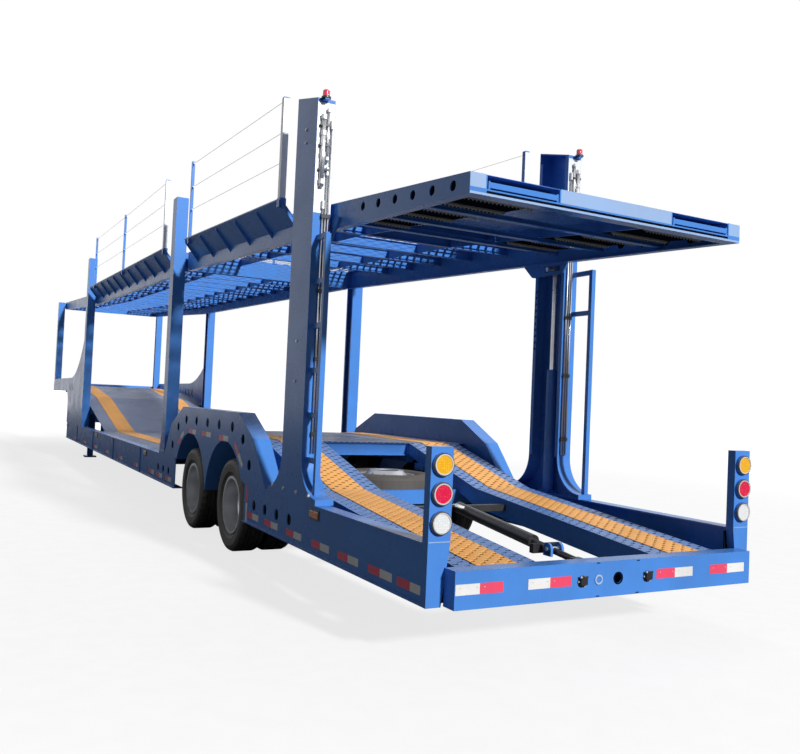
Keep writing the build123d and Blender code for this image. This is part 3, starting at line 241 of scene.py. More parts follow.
BLUE = (0.064, 0.232, 0.660)
GRIP_PITCH, GRIP_ROW = 0.060, 0.030
blue_paint = material("blue_paint", BLUE, roughness=0.26, dust=0.05, scuffs=0.03, coat=0.02, gloss=0.18)
# Paler blue with pale dust and scuffs: its paler tone paints the sheen on the tail's face, the welds and the
# pressed ring.
faded_sheen_blue = material("faded_sheen_blue_paint", (0.25, 0.40, 0.68), roughness=0.45, dust=0.3, scuffs=0.3,
                      dust_color=(0.55, 0.58, 0.62))
blue_mesh = material("blue_mesh_paint", (0.08, 0.23, 0.62), roughness=0.45, dust=0.1, scuffs=0.15, gloss=0.3)
blue_worn = material("blue_worn_plate", (0.09, 0.22, 0.55), roughness=0.42, dust=0.25, scuffs=0.3,
                     dust_color=(0.42, 0.44, 0.50))
blue_grip = slotted(material("blue_grip_plate", (0.24, 0.31, 0.52), roughness=0.40, dust=0.3, scuffs=0.3,
                             dust_color=(0.46, 0.48, 0.54)), GRIP_PITCH, GRIP_ROW)
orange_paint = material("orange_grip_paint", (0.97, 0.47, 0.125), roughness=0.6, dust=0.08, scuffs=0.08,
                        dust_color=(0.55, 0.40, 0.28))
strip_shade = material("strip_shade", (0.035, 0.014, 0.008), roughness=0.9, dust=0.0, scuffs=0.0, gloss=0.0)
spare_rubber = material("spare_tyre_rubber", (0.055, 0.050, 0.045), roughness=0.7, dust=0.5, scuffs=0.0,
                        dust_color=(0.22, 0.19, 0.16))
black_paint = material("black_paint", (0.010, 0.011, 0.014), roughness=0.32, dust=0.08, scuffs=0.08)
slot_shade = material("slot_shade", (0.004, 0.006, 0.012), roughness=0.9, dust=0.0, scuffs=0.0, gloss=0.0)
wheel_grey = material("wheel_grey", (0.60, 0.62, 0.65), roughness=0.34, metallic=0.65, dust=0.12, scuffs=0.12)
bare_steel = material("bare_steel", (0.66, 0.67, 0.69), roughness=0.28, metallic=0.8, dust=0.08, scuffs=0.1)
zinc = material("zinc_plate", (0.62, 0.63, 0.65), roughness=0.38, metallic=0.4, dust=0.10, scuffs=0.1)
dull_steel = material("dull_steel", (0.30, 0.29, 0.27), roughness=0.6, dust=0.3, scuffs=0.1, gloss=0.2)
silver = material("silver_sleeve", (0.74, 0.78, 0.83), roughness=0.35, metallic=0.1, dust=0.1, scuffs=0.05)
rubber = material("black_rubber", (0.014, 0.014, 0.015), roughness=0.62, dust=0.3, scuffs=0.05)
tape_red = material("tape_red", (0.82, 0.05, 0.13), roughness=0.3, dust=0.15, scuffs=0.05)
tape_white = material("tape_white", (0.80, 0.80, 0.80), roughness=0.3, dust=0.18, scuffs=0.05)
white_cord = material("white_cord", (0.80, 0.82, 0.86), roughness=0.6, dust=0.2, scuffs=0.0)
tyre_rubber = material("tyre_rubber", (0.012, 0.012, 0.013), roughness=0.62, dust=0.16, scuffs=0.0,
                       bump=0.001, dust_color=(0.13, 0.12, 0.10))
amber_lens = lens_material("amber_lens", (0.98, 0.74, 0.03), (0.74, 0.36, 0.006))
red_lens = lens_material("red_lens", (0.95, 0.040, 0.16), (0.62, 0.006, 0.05))
white_lens = lens_material("white_lens", (0.96, 0.96, 0.96), (0.66, 0.67, 0.69))
marker_lens = lens_material("marker_lens", (0.95, 0.30, 0.03), (0.62, 0.12, 0.01))

# ---- finish of the carried-over CAD pieces -------------------------------------------
FINISH = {"blue_paint": blue_paint, "orange_paint": orange_paint, "black_paint": black_paint,
          "black_tyre": tyre_rubber, "grey_rim": wheel_grey, "bare_steel": bare_steel, "zinc_grey": zinc,
          "amber_lens": amber_lens, "red_lens": red_lens, "white_lens": white_lens}
SPECIAL = {"lower_floor": blue_grip, "lift_barrels": blue_paint, "spare_tyre": spare_rubber}


def dress_solids():
    """Gives every CAD piece the material of its slot, or a special one of its own."""
    for part in frame["record"]["subparts"]:
        solid = frame["nodes"][part["node"]]
        finish = SPECIAL.get(part["node"], FINISH[part["material_slot"]])
        if solid.material_slots:
            for place in solid.material_slots:
                place.material = finish
        else:
            solid.data.materials.append(finish)


dress_solids()


# ---- making pieces -------------------------------------------------------------------
def piece(name, bm, body, finish, smooth=False, bevel=0.0):
    """Object from a bmesh, riding on a body."""
    mesh = bpy.data.meshes.new(name)
    bmesh.ops.recalc_face_normals(bm, faces=bm.faces)
    bm.to_mesh(mesh)
    bm.free()
    made = bpy.data.objects.new(name, mesh)
    bpy.context.scene.collection.objects.link(made)
    mesh.materials.append(finish)
    if smooth:
        for face in mesh.polygons:
            face.use_smooth = True
    if bevel:
        rounded = made.modifiers.new("rounded_edges", "BEVEL")
        rounded.width = bevel
        rounded.segments = 2
        rounded.limit_method = "ANGLE"
    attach(made, body)
    return made


def block(bm, low, high):
    """Box between two corners."""
    low, high = Vector(low), Vector(high)
    place = Matrix.Translation((low + high) / 2) @ Matrix.Diagonal((*(high - low), 1))
    bmesh.ops.create_cube(bm, size=1, matrix=place)


def side_block(bm, sign, along, across, high):
    """Box on one side: its limits along the trailer, out from the middle, and in height."""
    near, far = sorted((sign * across[0], sign * across[1]))
    block(bm, (at(along[0]), near, high[0]), (at(along[1]), far, high[1]))


def rod(bm, start, end, radius, sides=12, tip=None):
    """Round bar between two points, or a cone if its tip's radius is given."""
    start, end = Vector(start), Vector(end)
    run = end - start
    place = Matrix.Translation((start + end) / 2) @ run.to_track_quat("Z", "Y").to_matrix().to_4x4()
    bmesh.ops.create_cone(bm, cap_ends=True, segments=sides, radius1=radius,
                          radius2=radius if tip is None else tip, depth=run.length, matrix=place)


def turned(bm, profile, middle, axis, sides=48):
    """Ring or disc spun from a closed profile of (radius, along the axis) points; returns its vertices."""
    turn = Vector((0, 0, 1)).rotation_difference(Vector(axis)).to_matrix().to_4x4()
    before = set(bm.verts)
    verts = [bm.verts.new((radius, 0, along)) for radius, along in profile]
    edges = [bm.edges.new(pair) for pair in zip(verts, verts[1:] + verts[:1])
             if any(v.co.x for v in pair)]
    bmesh.ops.spin(bm, geom=verts + edges, cent=(0, 0, 0), axis=(0, 0, 1), angle=2 * pi,
                   steps=sides, use_merge=True, dvec=(0, 0, 0))
    bmesh.ops.remove_doubles(bm, verts=[v for v in bm.verts if v not in before], dist=1e-6)
    grown = [v for v in bm.verts if v not in before]
    bmesh.ops.transform(bm, matrix=Matrix.Translation(middle) @ turn, verts=grown)
    return grown


def height_on(line, along):
    """Height on a bent line of (along, height) points."""
    for (start, low), (end, high) in zip(line, line[1:]):
        if along <= end or (end, high) == line[-1]:
            return low + (high - low) * (along - start) / (end - start)


def follow(bm, line):
    """Raises everything in a mesh by a bent line's height above it."""
    for v in bm.verts:
        v.co.z += height_on(line, v.co.x - REAR)


# ---- camera, light and floor ---------------------------------------------------------
EYE = (-12.8532, 3.529, 1.4351)
YAW, PITCH, ROLL = 0.4967, 0.0287, 0.0437
FRAME_WIDTH = 800            # in pixels
FOCAL = 831.6                # in pixels of that frame
SENSOR = 36.0                # in millimetres


def viewpoint():
    """Camera behind the trailer on its left, at eye height and slightly rolled."""
    forward = Vector((cos(PITCH) * cos(YAW), -cos(PITCH) * sin(YAW), sin(PITCH)))
    level = forward.cross(Vector((0, 0, 1))).normalized()
    upright = level.cross(forward)
    right = level * cos(ROLL) + upright * sin(ROLL)
    up = upright * cos(ROLL) - level * sin(ROLL)
    lens = bpy.data.cameras.new("camera")
    lens.sensor_width = SENSOR
    lens.lens = FOCAL / FRAME_WIDTH * SENSOR
    lens.clip_end = 1000.0
    camera = bpy.data.objects.new("camera", lens)
    camera.matrix_world = Matrix.Translation(EYE) @ Matrix((right, up, -forward)).transposed().to_4x4()
    bpy.context.scene.collection.objects.link(camera)
    bpy.context.scene.camera = camera
    bpy.context.scene.view_settings.view_transform = "Standard"


def studio_light(name, kind, place, target, size, power, color=(1, 1, 1)):
    """Soft lamp aimed at a point: a square one, or a distant one whose size is an angle."""
    lamp = bpy.data.lights.new(name, kind)
    if kind == "SUN":
        lamp.angle = size
    else:
        lamp.size = size
    lamp.energy = power
    lamp.color = color
    held = bpy.data.objects.new(name, lamp)
    held.location = place
    held.rotation_euler = (Vector(target) - Vector(place)).to_track_quat("-Z", "Y").to_euler()
    bpy.context.scene.collection.objects.link(held)


def backdrop():
    """World that is white to the camera, in reflections and through glass, and a soft light elsewhere."""
    world = bpy.data.worlds.new("studio")
    bpy.context.scene.world = world
    world.use_nodes = True
    tree = world.node_tree
    tree.nodes.clear()
    path = node(tree, "ShaderNodeLightPath")
    seen = sums(tree, "MAXIMUM", path.outputs["Is Camera Ray"], path.outputs["Is Transmission Ray"])
    seen = sums(tree, "MAXIMUM", seen, path.outputs["Is Glossy Ray"])
    soft = node(tree, "ShaderNodeBackground", {"Color": (0.82, 0.88, 1.0, 1), "Strength": 0.12})
    white = node(tree, "ShaderNodeBackground", {"Color": (1, 1, 1, 1), "Strength": 1.0})
    both = node(tree, "ShaderNodeMixShader", {0: seen, 1: soft.outputs[0], 2: white.outputs[0]})
    node(tree, "ShaderNodeOutputWorld", {"Surface": both.outputs[0]})


FLOOR_HALF = 400.0
WHITENS = (7.0, 20.0)        # distances from the middle between which the floor turns white
MIRRORED = (24.0, 60.0)      # distances between which it comes to show in reflections


def floor():
    """Pale floor that holds a soft shadow near the trailer and is white further out."""
    bm = bmesh.new()
    bmesh.ops.create_grid(bm, x_segments=1, y_segments=1, size=FLOOR_HALF)
    mesh = bpy.data.meshes.new("floor")
    bm.to_mesh(mesh)
    bm.free()
    ground = bpy.data.objects.new("floor", mesh)
    bpy.context.scene.collection.objects.link(ground)
    pale = bpy.data.materials.new("pale_floor")
    pale.use_nodes = True
    tree = pale.node_tree
    place = node(tree, "ShaderNodeTexCoord").outputs["Object"]
    grain = node(tree, "ShaderNodeTexNoise", {"Vector": place, "Scale": 6.0, "Detail": 3.0}).outputs[0]
    far = node(tree, "ShaderNodeVectorMath", {0: place}, operation="LENGTH").outputs["Value"]
    path = node(tree, "ShaderNodeLightPath")
    white = sums(tree, "MULTIPLY", steps(tree, far, *WHITENS, 0.77, 1.0), path.outputs["Is Camera Ray"])
    mirrored = sums(tree, "MULTIPLY", steps(tree, far, *MIRRORED), path.outputs["Is Glossy Ray"])
    color = mixed(tree, steps(tree, grain, 0.3, 0.7), (0.20, 0.20, 0.20, 1), (0.22, 0.22, 0.22, 1))
    glow = sums(tree, "ADD", white, mirrored)
    for key, value in (("Base Color", color), ("Roughness", 0.9), ("Specular IOR Level", 0.0),
                       ("Emission Color", (1, 1, 1, 1)), ("Emission Strength", glow)):
        feed(tree, tree.nodes["Principled BSDF"].inputs[key], value)
    mesh.materials.append(pale)


viewpoint()
studio_light("key_light", "SUN", (-30, -5, 14), (-4, 0, 1.5), radians(5), 4.2, (1.0, 0.99, 0.97))
studio_light("top_light", "AREA", (0, -6, 16), (0, 0, 1), 10, 700)
studio_light("side_light", "AREA", (2, 18, 7), (0, 0, 1.5), 12, 60, (0.93, 0.96, 1.0))
backdrop()
floor()

# ---- decks: the bent lines that the sheets follow, as places along and heights -------
REAR_DECK_LINE = [(0.110, 2.710), (2.800, 2.955), (6.270, 3.105)]
FRONT_DECK_LINE = [(6.390, 3.120), (13.350, 3.270), (18.300, 3.500)]
RAMP_LINE = [(0.110, 0.522), (2.210, 0.720), (3.410, 1.030)]
FLOOR_LINE = [(3.410, 1.030), (5.300, 1.030), (6.320, 0.680), (11.400, 0.680), (14.050, 1.240),
              (16.250, 1.465), (18.260, 1.465)]
STRIP_LINE = RAMP_LINE + FLOOR_LINE[1:]
TRACK = (0.430, 1.020)       # inner and outer edges of the upper tracks, from the middle
TRACK_PLATE = 0.003
MESH_HALF = 0.436            # half width of the expanded mesh between the tracks
MESH_DROP = 0.008            # its depth under the tracks
MESH_PITCH, MESH_LEAN, MESH_WIRE = 0.085, radians(30), 0.0017
SHORTEST_WIRE = 0.02
GRIP_PLATE = 0.0045          # thickness of the ramp's grip plates and of the orange strips


def slotted_sheet(name, line, start, end, across, cells, hole, body, finish, thick,
                  drop=0.0, plain=0.0, stagger=True):
    """Sheet along a bent line with a field of slots, on both sides of the trailer.

    cells is the number of cells along and across, hole the share of a cell that its slot takes, and
    plain the length at the rear end that has no slots.
    """
    bm = bmesh.new()
    for low, high in (across, (-across[1], -across[0])):
        place = (Matrix.Translation((at((start + end) / 2), (low + high) / 2, 0))
                 @ Matrix.Diagonal(((end - start) / 2, (high - low) / 2, 1, 1)))
        made = bmesh.ops.create_grid(bm, x_segments=cells[0], y_segments=cells[1], size=1, matrix=place)
        corners = set(made["verts"])
        long, wide = (end - start) / cells[0], (high - low) / cells[1]
        chosen = []
        for face in bm.faces:
            if not all(v in corners for v in face.verts):
                continue
            middle = face.calc_center_median()
            column = int((middle.x - at(start)) / long)
            row = int((middle.y - low) / wide)
            if middle.x > at(start) + plain and (not stagger or (column + row) % 2 == 0):
                chosen.append(face)
        bmesh.ops.inset_individual(bm, faces=chosen, thickness=(1 - hole) * min(long, wide) / 2,
                                   use_even_offset=True)
        bmesh.ops.delete(bm, geom=chosen, context="FACES")
    for v in bm.verts:
        v.co.z = height_on(line, v.co.x - REAR) - drop
    made = piece(name, bm, body, finish)
    wall = made.modifiers.new("sheet_thickness", "SOLIDIFY")
    wall.thickness = thick
    wall.offset = -1
    return made


def mesh_panel(name, line, start, end, body):
    """Expanded mesh between the tracks: two sets of slanted wires under a bent line."""
    bm = bmesh.new()
    reach = 2 * MESH_HALF * tan(MESH_LEAN)
    for sign in SIDES:
        first_foot = start - reach if sign > 0 else start
        for i in range(int((end - start + reach) / MESH_PITCH)):
            foot = first_foot + i * MESH_PITCH
            low, high = max(foot, start), min(foot + reach, end)
            if high - low < SHORTEST_WIRE:
                continue
            ends = []
            for along in (low, high):
                across = sign * MESH_HALF * (2 * (along - foot) / reach - 1)
                ends.append((at(along), across, height_on(line, along) - MESH_DROP))
            rod(bm, *ends[::sign], MESH_WIRE, 4)
    piece(name, bm, body, blue_mesh)


def underlay(name, line, start, end, across, top, finish):
    """Thin dark sheet under a slotted one, on both sides of the trailer, that paints the shade seen through
    its slots.
    """
    bm = bmesh.new()
    for sign in SIDES:
        side_block(bm, sign, (start, end), across, (top - 0.0002, top))
    for along, _ in line:
        if start < along < end:
            bmesh.ops.bisect_plane(bm, geom=bm.verts[:] + bm.edges[:] + bm.faces[:],
                                   plane_co=(at(along), 0, 0), plane_no=(1, 0, 0))
    follow(bm, line)
    piece(name, bm, CHASSIS, finish)


# Upper tracks are punched plates, with expanded mesh between them.
front_track = slotted_sheet("front_track_plates", FRONT_DECK_LINE, 6.400, 18.290, TRACK, (128, 7), 0.66,
                            CHASSIS, blue_mesh, TRACK_PLATE, stagger=False)
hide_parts("front_deck_floor")
rear_track = slotted_sheet("rear_track_plates", REAR_DECK_LINE, 0.118, 6.260, TRACK, (66, 7), 0.66,
                           REAR_DECK, blue_mesh, TRACK_PLATE, plain=0.55, stagger=False)
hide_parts("rear_deck_floor")
mesh_panel("front_centre_mesh", FRONT_DECK_LINE, 6.41, 18.28, CHASSIS)
mesh_panel("rear_centre_mesh", REAR_DECK_LINE, 2.75, 6.255, REAR_DECK)

# ---- tail of the upper rear deck -----------------------------------------------------
# Heights of the treads, pockets and bars are taken from the deck's line.
TAIL_PLATE, TAIL_PLATE_HIGH = (0.119, 2.745), (-0.012, -0.008)
TAIL_HALF = 0.437            # half width of the closed middle
TREAD_START, TREAD_PITCH, TREADS = 0.300, 0.130, 18
TREAD_THICK, TREAD_HIGH = 0.006, (-0.009, 0.002)
TREAD_TEETH, TREAD_TOOTH = 27, 0.010
POCKET = (0.462, 0.975)      # inner and outer edges of the open pockets under the tracks
POCKET_LONG = (0.225, 2.040)
POCKET_TOP = -0.0885         # their ceiling
BAR_START, BAR_PITCH, BARS = 0.330, 0.310, 6
BAR_THICK, BAR_FOOT = 0.034, POCKET_TOP - 0.012
BAR_TEETH, BAR_TOOTH = 18, 0.014
SKIN = 0.001                 # a painted patch stands this far off the tail's face
FACE_PANELS = ((-0.446, 0.446), (0.974, 1.079), (-1.079, -0.974))
FACE_PANEL_HIGH = (2.629, 2.709)
LIP_HALF, LIP_HIGH = 1.079, (2.5905, 2.604)
# Near-black strip that paints the shade of the long slot under the tail's face.
SLOT_SHADOW_HALF, SLOT_SHADOW_HIGH = 0.968, (2.605, 2.619)


def teeth(bm, along, start, end, count, high, size):
    """Row of pointed teeth across the trailer, hanging down if their size is negative."""
    for i in range(count):
        foot = (at(along), start + (end - start) * (i + 0.5) / count, high)
        rod(bm, foot, (foot[0], foot[1], high + size), abs(size), 4, tip=0.001)


def tail_grips():
    """Closed middle of the upper deck's tail with toothed treads, and the bars under its tracks."""
    plate, treads = bmesh.new(), bmesh.new()
    side_block(plate, 1, TAIL_PLATE, (-TAIL_HALF, TAIL_HALF), TAIL_PLATE_HIGH)
    tread_half = TAIL_HALF - 0.003
    for i in range(TREADS):
        along = TREAD_START + i * TREAD_PITCH
        side_block(treads, 1, (along, along + TREAD_THICK), (-tread_half, tread_half), TREAD_HIGH)
        teeth(treads, along + TREAD_THICK / 2, 0.010 - tread_half, tread_half - 0.010, TREAD_TEETH,
              TREAD_HIGH[1], TREAD_TOOTH)
    shade, bars = bmesh.new(), bmesh.new()
    for sign in SIDES:
        low, high = sorted(sign * edge for edge in POCKET)
        side_block(shade, sign, POCKET_LONG, POCKET, (POCKET_TOP - 0.001, POCKET_TOP))
        for i in range(BARS):
            along = BAR_START + i * BAR_PITCH
            side_block(bars, sign, (along, along + BAR_THICK), POCKET, (BAR_FOOT, POCKET_TOP - 0.001))
            teeth(bars, along + BAR_THICK / 2, low, high, BAR_TEETH, BAR_FOOT, -BAR_TOOTH)
    for bm, name, finish, slot in ((plate, "tail_middle_plate", blue_paint, "blue_paint"),
                                   (treads, "tail_tread_bars", blue_paint, "blue_paint"),
                                   (shade, "tail_pocket_shade", slot_shade, "black_paint"),
                                   (bars, "tail_pocket_bars", dull_steel, "zinc_grey")):
        follow(bm, REAR_DECK_LINE)
        piece(name, bm, REAR_DECK, finish)


def tail_face():
    """Rear face of the upper deck's tail in paler paint whose tone paints its sheen, with dust and scuffs,
    and painted shade for the long slot under it.
    """
    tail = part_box("rear_deck_frame")[0].x
    front = tail - SEAT
    skin, slot_shadow = bmesh.new(), bmesh.new()
    for low, high in FACE_PANELS:
        block(skin, (tail - SKIN, low, FACE_PANEL_HIGH[0]), (front, high, FACE_PANEL_HIGH[1]))
    block(skin, (tail - SKIN, -LIP_HALF, LIP_HIGH[0]), (front, LIP_HALF, LIP_HIGH[1]))
    block(slot_shadow, (tail - 0.0008, -SLOT_SHADOW_HALF, SLOT_SHADOW_HIGH[0]), (front, SLOT_SHADOW_HALF, SLOT_SHADOW_HIGH[1]))
    piece("tail_face", skin, REAR_DECK, faded_sheen_blue)
    piece("tail_slot_shade", slot_shadow, REAR_DECK, slot_shade)


tail_grips()
tail_face()

# ---- the loading ramp's grip plates, and the orange strips along ramp and floor ------
ramp_plates = slotted_sheet("ramp_grip_plates", RAMP_LINE, 0.112, 3.408, (0.455, 1.015), (84, 10), 0.60,
                            CHASSIS, blue_worn, GRIP_PLATE)
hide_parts("ramp_floor")
strips = slotted_sheet("orange_grip_strips", STRIP_LINE, 0.130, 17.900, (0.600, 0.880), (450, 6), 0.62,
                       CHASSIS, orange_paint, GRIP_PLATE, drop=-0.005)
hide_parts("lower_strips")
# The near-black and dark brown sheets under the ramp plates and orange strips paint the shade seen through
# their slots.
underlay("ramp_underlay", RAMP_LINE, 0.114, 3.406, (0.460, 1.010), -0.0050, slot_shade)
underlay("strip_underlay", STRIP_LINE, 0.132, 17.898, (0.602, 0.878), 0.0004, strip_shade)

# ---- reflective tapes ----------------------------------------------------------------
TAPE = 0.0012                # thickness
TAPE_LONG, TAPE_HIGH = 0.305, 0.050
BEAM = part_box("rear_beam")[0].x
BEAM_TAPES = [(1.136, 0.828), (0.660, 0.355), (-0.309, -0.617), (-0.770, -1.087)]
BEAM_TAPE = (0.424, 0.482)   # lower and upper edges
RAIL_FACE = HALF - 0.012
RAIL_TAPES = [0.150, 0.515, 0.963, 1.412, 1.910, 2.400, 2.853, 5.900, 6.350, 6.800, 7.750, 8.920,
              10.100, 11.300, 12.600, 13.900]
RAIL_TAPE = (0.392, 0.392 + TAPE_HIGH)
UPRIGHT_TAPE = (3.150, 3.195)
UPRIGHT_ENDS = (0.358, 0.507, 0.656)     # foot, change of colour and top
ARCH_TAPES = [((3.304, 0.807), (3.430, 0.903), (3.549, 0.990)),
              ((3.752, 1.017), (3.905, 1.017), (4.057, 1.017)),
              ((4.325, 1.022), (4.488, 1.022), (4.650, 1.022)),
              ((4.879, 1.018), (5.012, 1.018), (5.165, 1.018)),
              ((5.380, 0.990), (5.505, 0.925), (5.620, 0.850))]


def tapes():
    """Two-coloured tapes on the rear beam, along the rails and round the wheel arches."""
    white, red = bmesh.new(), bmesh.new()
    for first, second in BEAM_TAPES:
        halves = (white, red) if first > 0 else (red, white)
        for edge, half in zip((first, second), halves):
            low, high = sorted((edge, (first + second) / 2))
            block(half, (BEAM - TAPE, low, BEAM_TAPE[0]), (BEAM, high, BEAM_TAPE[1]))
    stand = (RAIL_FACE, RAIL_FACE + TAPE)
    for sign in SIDES:
        side_block(white, sign, UPRIGHT_TAPE, stand, UPRIGHT_ENDS[:2])
        side_block(red, sign, UPRIGHT_TAPE, stand, UPRIGHT_ENDS[1:])
        for start in RAIL_TAPES:
            half_way, end = start + TAPE_LONG / 2, start + TAPE_LONG
            side_block(white, sign, (start, half_way), stand, RAIL_TAPE)
            side_block(red, sign, (half_way, end), stand, RAIL_TAPE)
        for first, second, third in ARCH_TAPES:
            for half, (start, low), (end, high) in ((white, first, second), (red, second, third)):
                middle = (at((start + end) / 2), sign * (HALF + TAPE / 2), (low + high) / 2)
                lean = Matrix.Rotation(-atan2(high - low, end - start), 4, "Y")
                size = Matrix.Diagonal((hypot(end - start, high - low), TAPE, TAPE_HIGH, 1))
                bmesh.ops.create_cube(half, size=1, matrix=Matrix.Translation(middle) @ lean @ size)
    piece("white_tapes", white, CHASSIS, tape_white)
    piece("red_tapes", red, CHASSIS, tape_red)


tapes()

# ---- side markers and fittings of the rear beam --------------------------------------
MARKERS = (1.610, 7.300, 11.300, 15.300)
MARKER_LONG, MARKER_HIGH = 0.150, (0.590, 0.640)
HOLDER_RIM = 0.012           # shows past the marker's ends
HOLDER_HIGH = (0.580, 0.650)
SOCKETS = (0.275, -0.232)    # Y of the two plug sockets
SOCKET_HIGH = 0.445
SCREW_CIRCLE = 0.030
LID_HALF, LID_HIGH = 0.024, (0.428, 0.474)
RIVET_PLACES = (0.10, 0.44, 0.60)        # shares of a tape's length
RIVET_HIGH = 0.462
RING_AT, RING_HIGH = 0.150, 0.447
TOWING_HOLE_HIGH = 0.448
DRAINS = (0.155, -0.155)
DRAIN_HALF, DRAIN_HIGH, DRAIN_FEET = 0.012, 0.006, (0.350, 0.541)


def side_markers():
    """Amber side markers in black holders, on the rails."""
    markers, holders = bmesh.new(), bmesh.new()
    for sign in SIDES:
        for along in MARKERS:
            end = along + MARKER_LONG
            side_block(markers, sign, (along, end), (RAIL_FACE, HALF - 0.001), MARKER_HIGH)
            side_block(holders, sign, (along - HOLDER_RIM, end + HOLDER_RIM), (RAIL_FACE, HALF - 0.006),
                       HOLDER_HIGH)
    piece("side_markers", markers, CHASSIS, marker_lens, bevel=0.003)
    piece("marker_holders", holders, CHASSIS, black_paint, bevel=0.002)


def plug_sockets():
    """Plug sockets with hinged lids, and the screws that hold them and the beam's tapes."""
    sockets, lids, screws = bmesh.new(), bmesh.new(), bmesh.new()
    hinge = BEAM - 0.020
    for y in SOCKETS:
        turned(sockets, [(0.034, 0.0), (0.034, -0.004), (0.026, -0.006), (0.026, -0.016), (0.0, -0.016),
                         (0.0, 0.0)], (BEAM - 0.0005, y, SOCKET_HIGH), (1, 0, 0), 24)
        block(lids, (BEAM - 0.024, y - LID_HALF, LID_HIGH[0]), (BEAM - 0.016, y + LID_HALF, LID_HIGH[1]))
        rod(lids, (hinge, y - 0.028, LID_HIGH[1]), (hinge, y + 0.028, LID_HIGH[1]), 0.005, 10)
        for i in range(3):
            angle = i * 2 * pi / 3
            across, high = y + SCREW_CIRCLE * cos(angle), SOCKET_HIGH + SCREW_CIRCLE * sin(angle)
            rod(screws, (BEAM - 0.001, across, high), (BEAM - 0.009, across, high), 0.005, 6)
        rod(screws, (hinge, y + 0.020, 0.4735), (hinge, y + 0.029, 0.4735), 0.0062, 10)
    for first, second in BEAM_TAPES:
        for share in RIVET_PLACES:
            y = first + (second - first) * share
            rod(screws, (BEAM - TAPE - 0.0012, y, RIVET_HIGH), (BEAM - TAPE, y, RIVET_HIGH), 0.0035, 8)
    piece("plug_sockets", sockets, CHASSIS, black_paint)
    piece("plug_lids", lids, CHASSIS, black_paint, bevel=0.002)
    piece("socket_screws", screws, CHASSIS, zinc)


def beam_marks():
    """Pressed ring on the rear beam in the paler blue that paints its sheen, and painted shade round its
    towing hole and in its drain slots.
    """
    ring, dark = bmesh.new(), bmesh.new()
    turned(ring, [(0.032, 0.0), (0.028, -0.004), (0.020, -0.004), (0.016, 0.0)],
           (BEAM - SEAT, RING_AT, RING_HIGH), (1, 0, 0), 32)
    # A near-black ring and blocks paint the shade round the towing hole and in the drain slots.
    turned(dark, [(0.0375, 0.0), (0.0375, -0.001), (0.028, -0.001), (0.028, 0.0)],
           (BEAM - SEAT, 0.0, TOWING_HOLE_HIGH), (1, 0, 0), 40)
    for y in DRAINS:
        for foot in DRAIN_FEET:
            block(dark, (BEAM - 0.001, y - DRAIN_HALF, foot),
                  (BEAM - SEAT, y + DRAIN_HALF, foot + DRAIN_HIGH))
    piece("pressed_ring", ring, CHASSIS, faded_sheen_blue, smooth=True)
    piece("towing_hole_and_drain_shade", dark, CHASSIS, slot_shade)


side_markers()
plug_sockets()
beam_marks()

# ---- wheels --------------------------------------------------------------------------
TYRE_R = 0.420
TYRE_WIDTH = 0.248
TREAD_HALF = 0.080
TYRE_STEPS = 144             # round a tyre
SIDEWALL = [(0.248, 0.094), (0.258, 0.0955), (0.268, 0.093), (0.286, 0.106), (0.300, 0.1155),
            (0.304, 0.1185), (0.308, 0.1178), (0.330, 0.1228), (0.345, 0.1240), (0.364, 0.1225),
            (0.368, 0.1235), (0.372, 0.1208), (0.388, 0.1180), (0.402, 0.1105), (0.412, 0.1000)]
GROOVES = [0.024, 0.056]     # middles of the grooves, from the middle of the tread
GROOVE_HALF, GROOVE_DEEP = 0.0045, 0.011
SHOULDER_CUT, TREAD_CUT = 0.009, 0.004
CUT_EVERY = 4                # steps from one cut to the next
DISC = 0.972                 # outer face of the wheel disc, from the trailer's middle
HUB_END = 1.094              # end of the hub, from the trailer's middle
NUTS, NUT_CIRCLE = 10, 0.134
CAP_BOLTS, CAP_CIRCLE = 8, 0.094


def tyre_profile():
    """Section of a tyre with four grooves round the tread."""
    half = list(SIDEWALL) + [(TYRE_R, TREAD_HALF)]
    for middle in reversed(GROOVES):
        half += [(TYRE_R, middle + GROOVE_HALF), (TYRE_R - GROOVE_DEEP, middle + GROOVE_HALF * 0.6),
                 (TYRE_R - GROOVE_DEEP, middle - GROOVE_HALF * 0.6), (TYRE_R, middle - GROOVE_HALF)]
    return half + [(radius, -across) for radius, across in reversed(half)]


def tyre(bm, middle):
    """Tyre about an axis across the trailer, with short cuts over its shoulders and between its grooves."""
    grown = turned(bm, tyre_profile(), (0, 0, 0), (0, 0, 1), TYRE_STEPS)
    for v in grown:
        radius = hypot(v.co.x, v.co.y)
        step = round(atan2(v.co.y, v.co.x) / (2 * pi / TYRE_STEPS))
        cut = 0.0
        if abs(v.co.z) > GROOVES[1] + 0.01 and radius > TYRE_R - 0.015 and step % CUT_EVERY == 0:
            cut = SHOULDER_CUT
        elif abs(v.co.z) < GROOVES[1] and radius > TYRE_R - 0.001 and step % CUT_EVERY == CUT_EVERY / 2:
            cut = TREAD_CUT
        v.co.x *= (radius - cut) / radius
        v.co.y *= (radius - cut) / radius
    lay = Matrix.Translation(middle) @ Matrix.Rotation(pi / 2, 4, "X")
    bmesh.ops.transform(bm, matrix=lay, verts=grown)


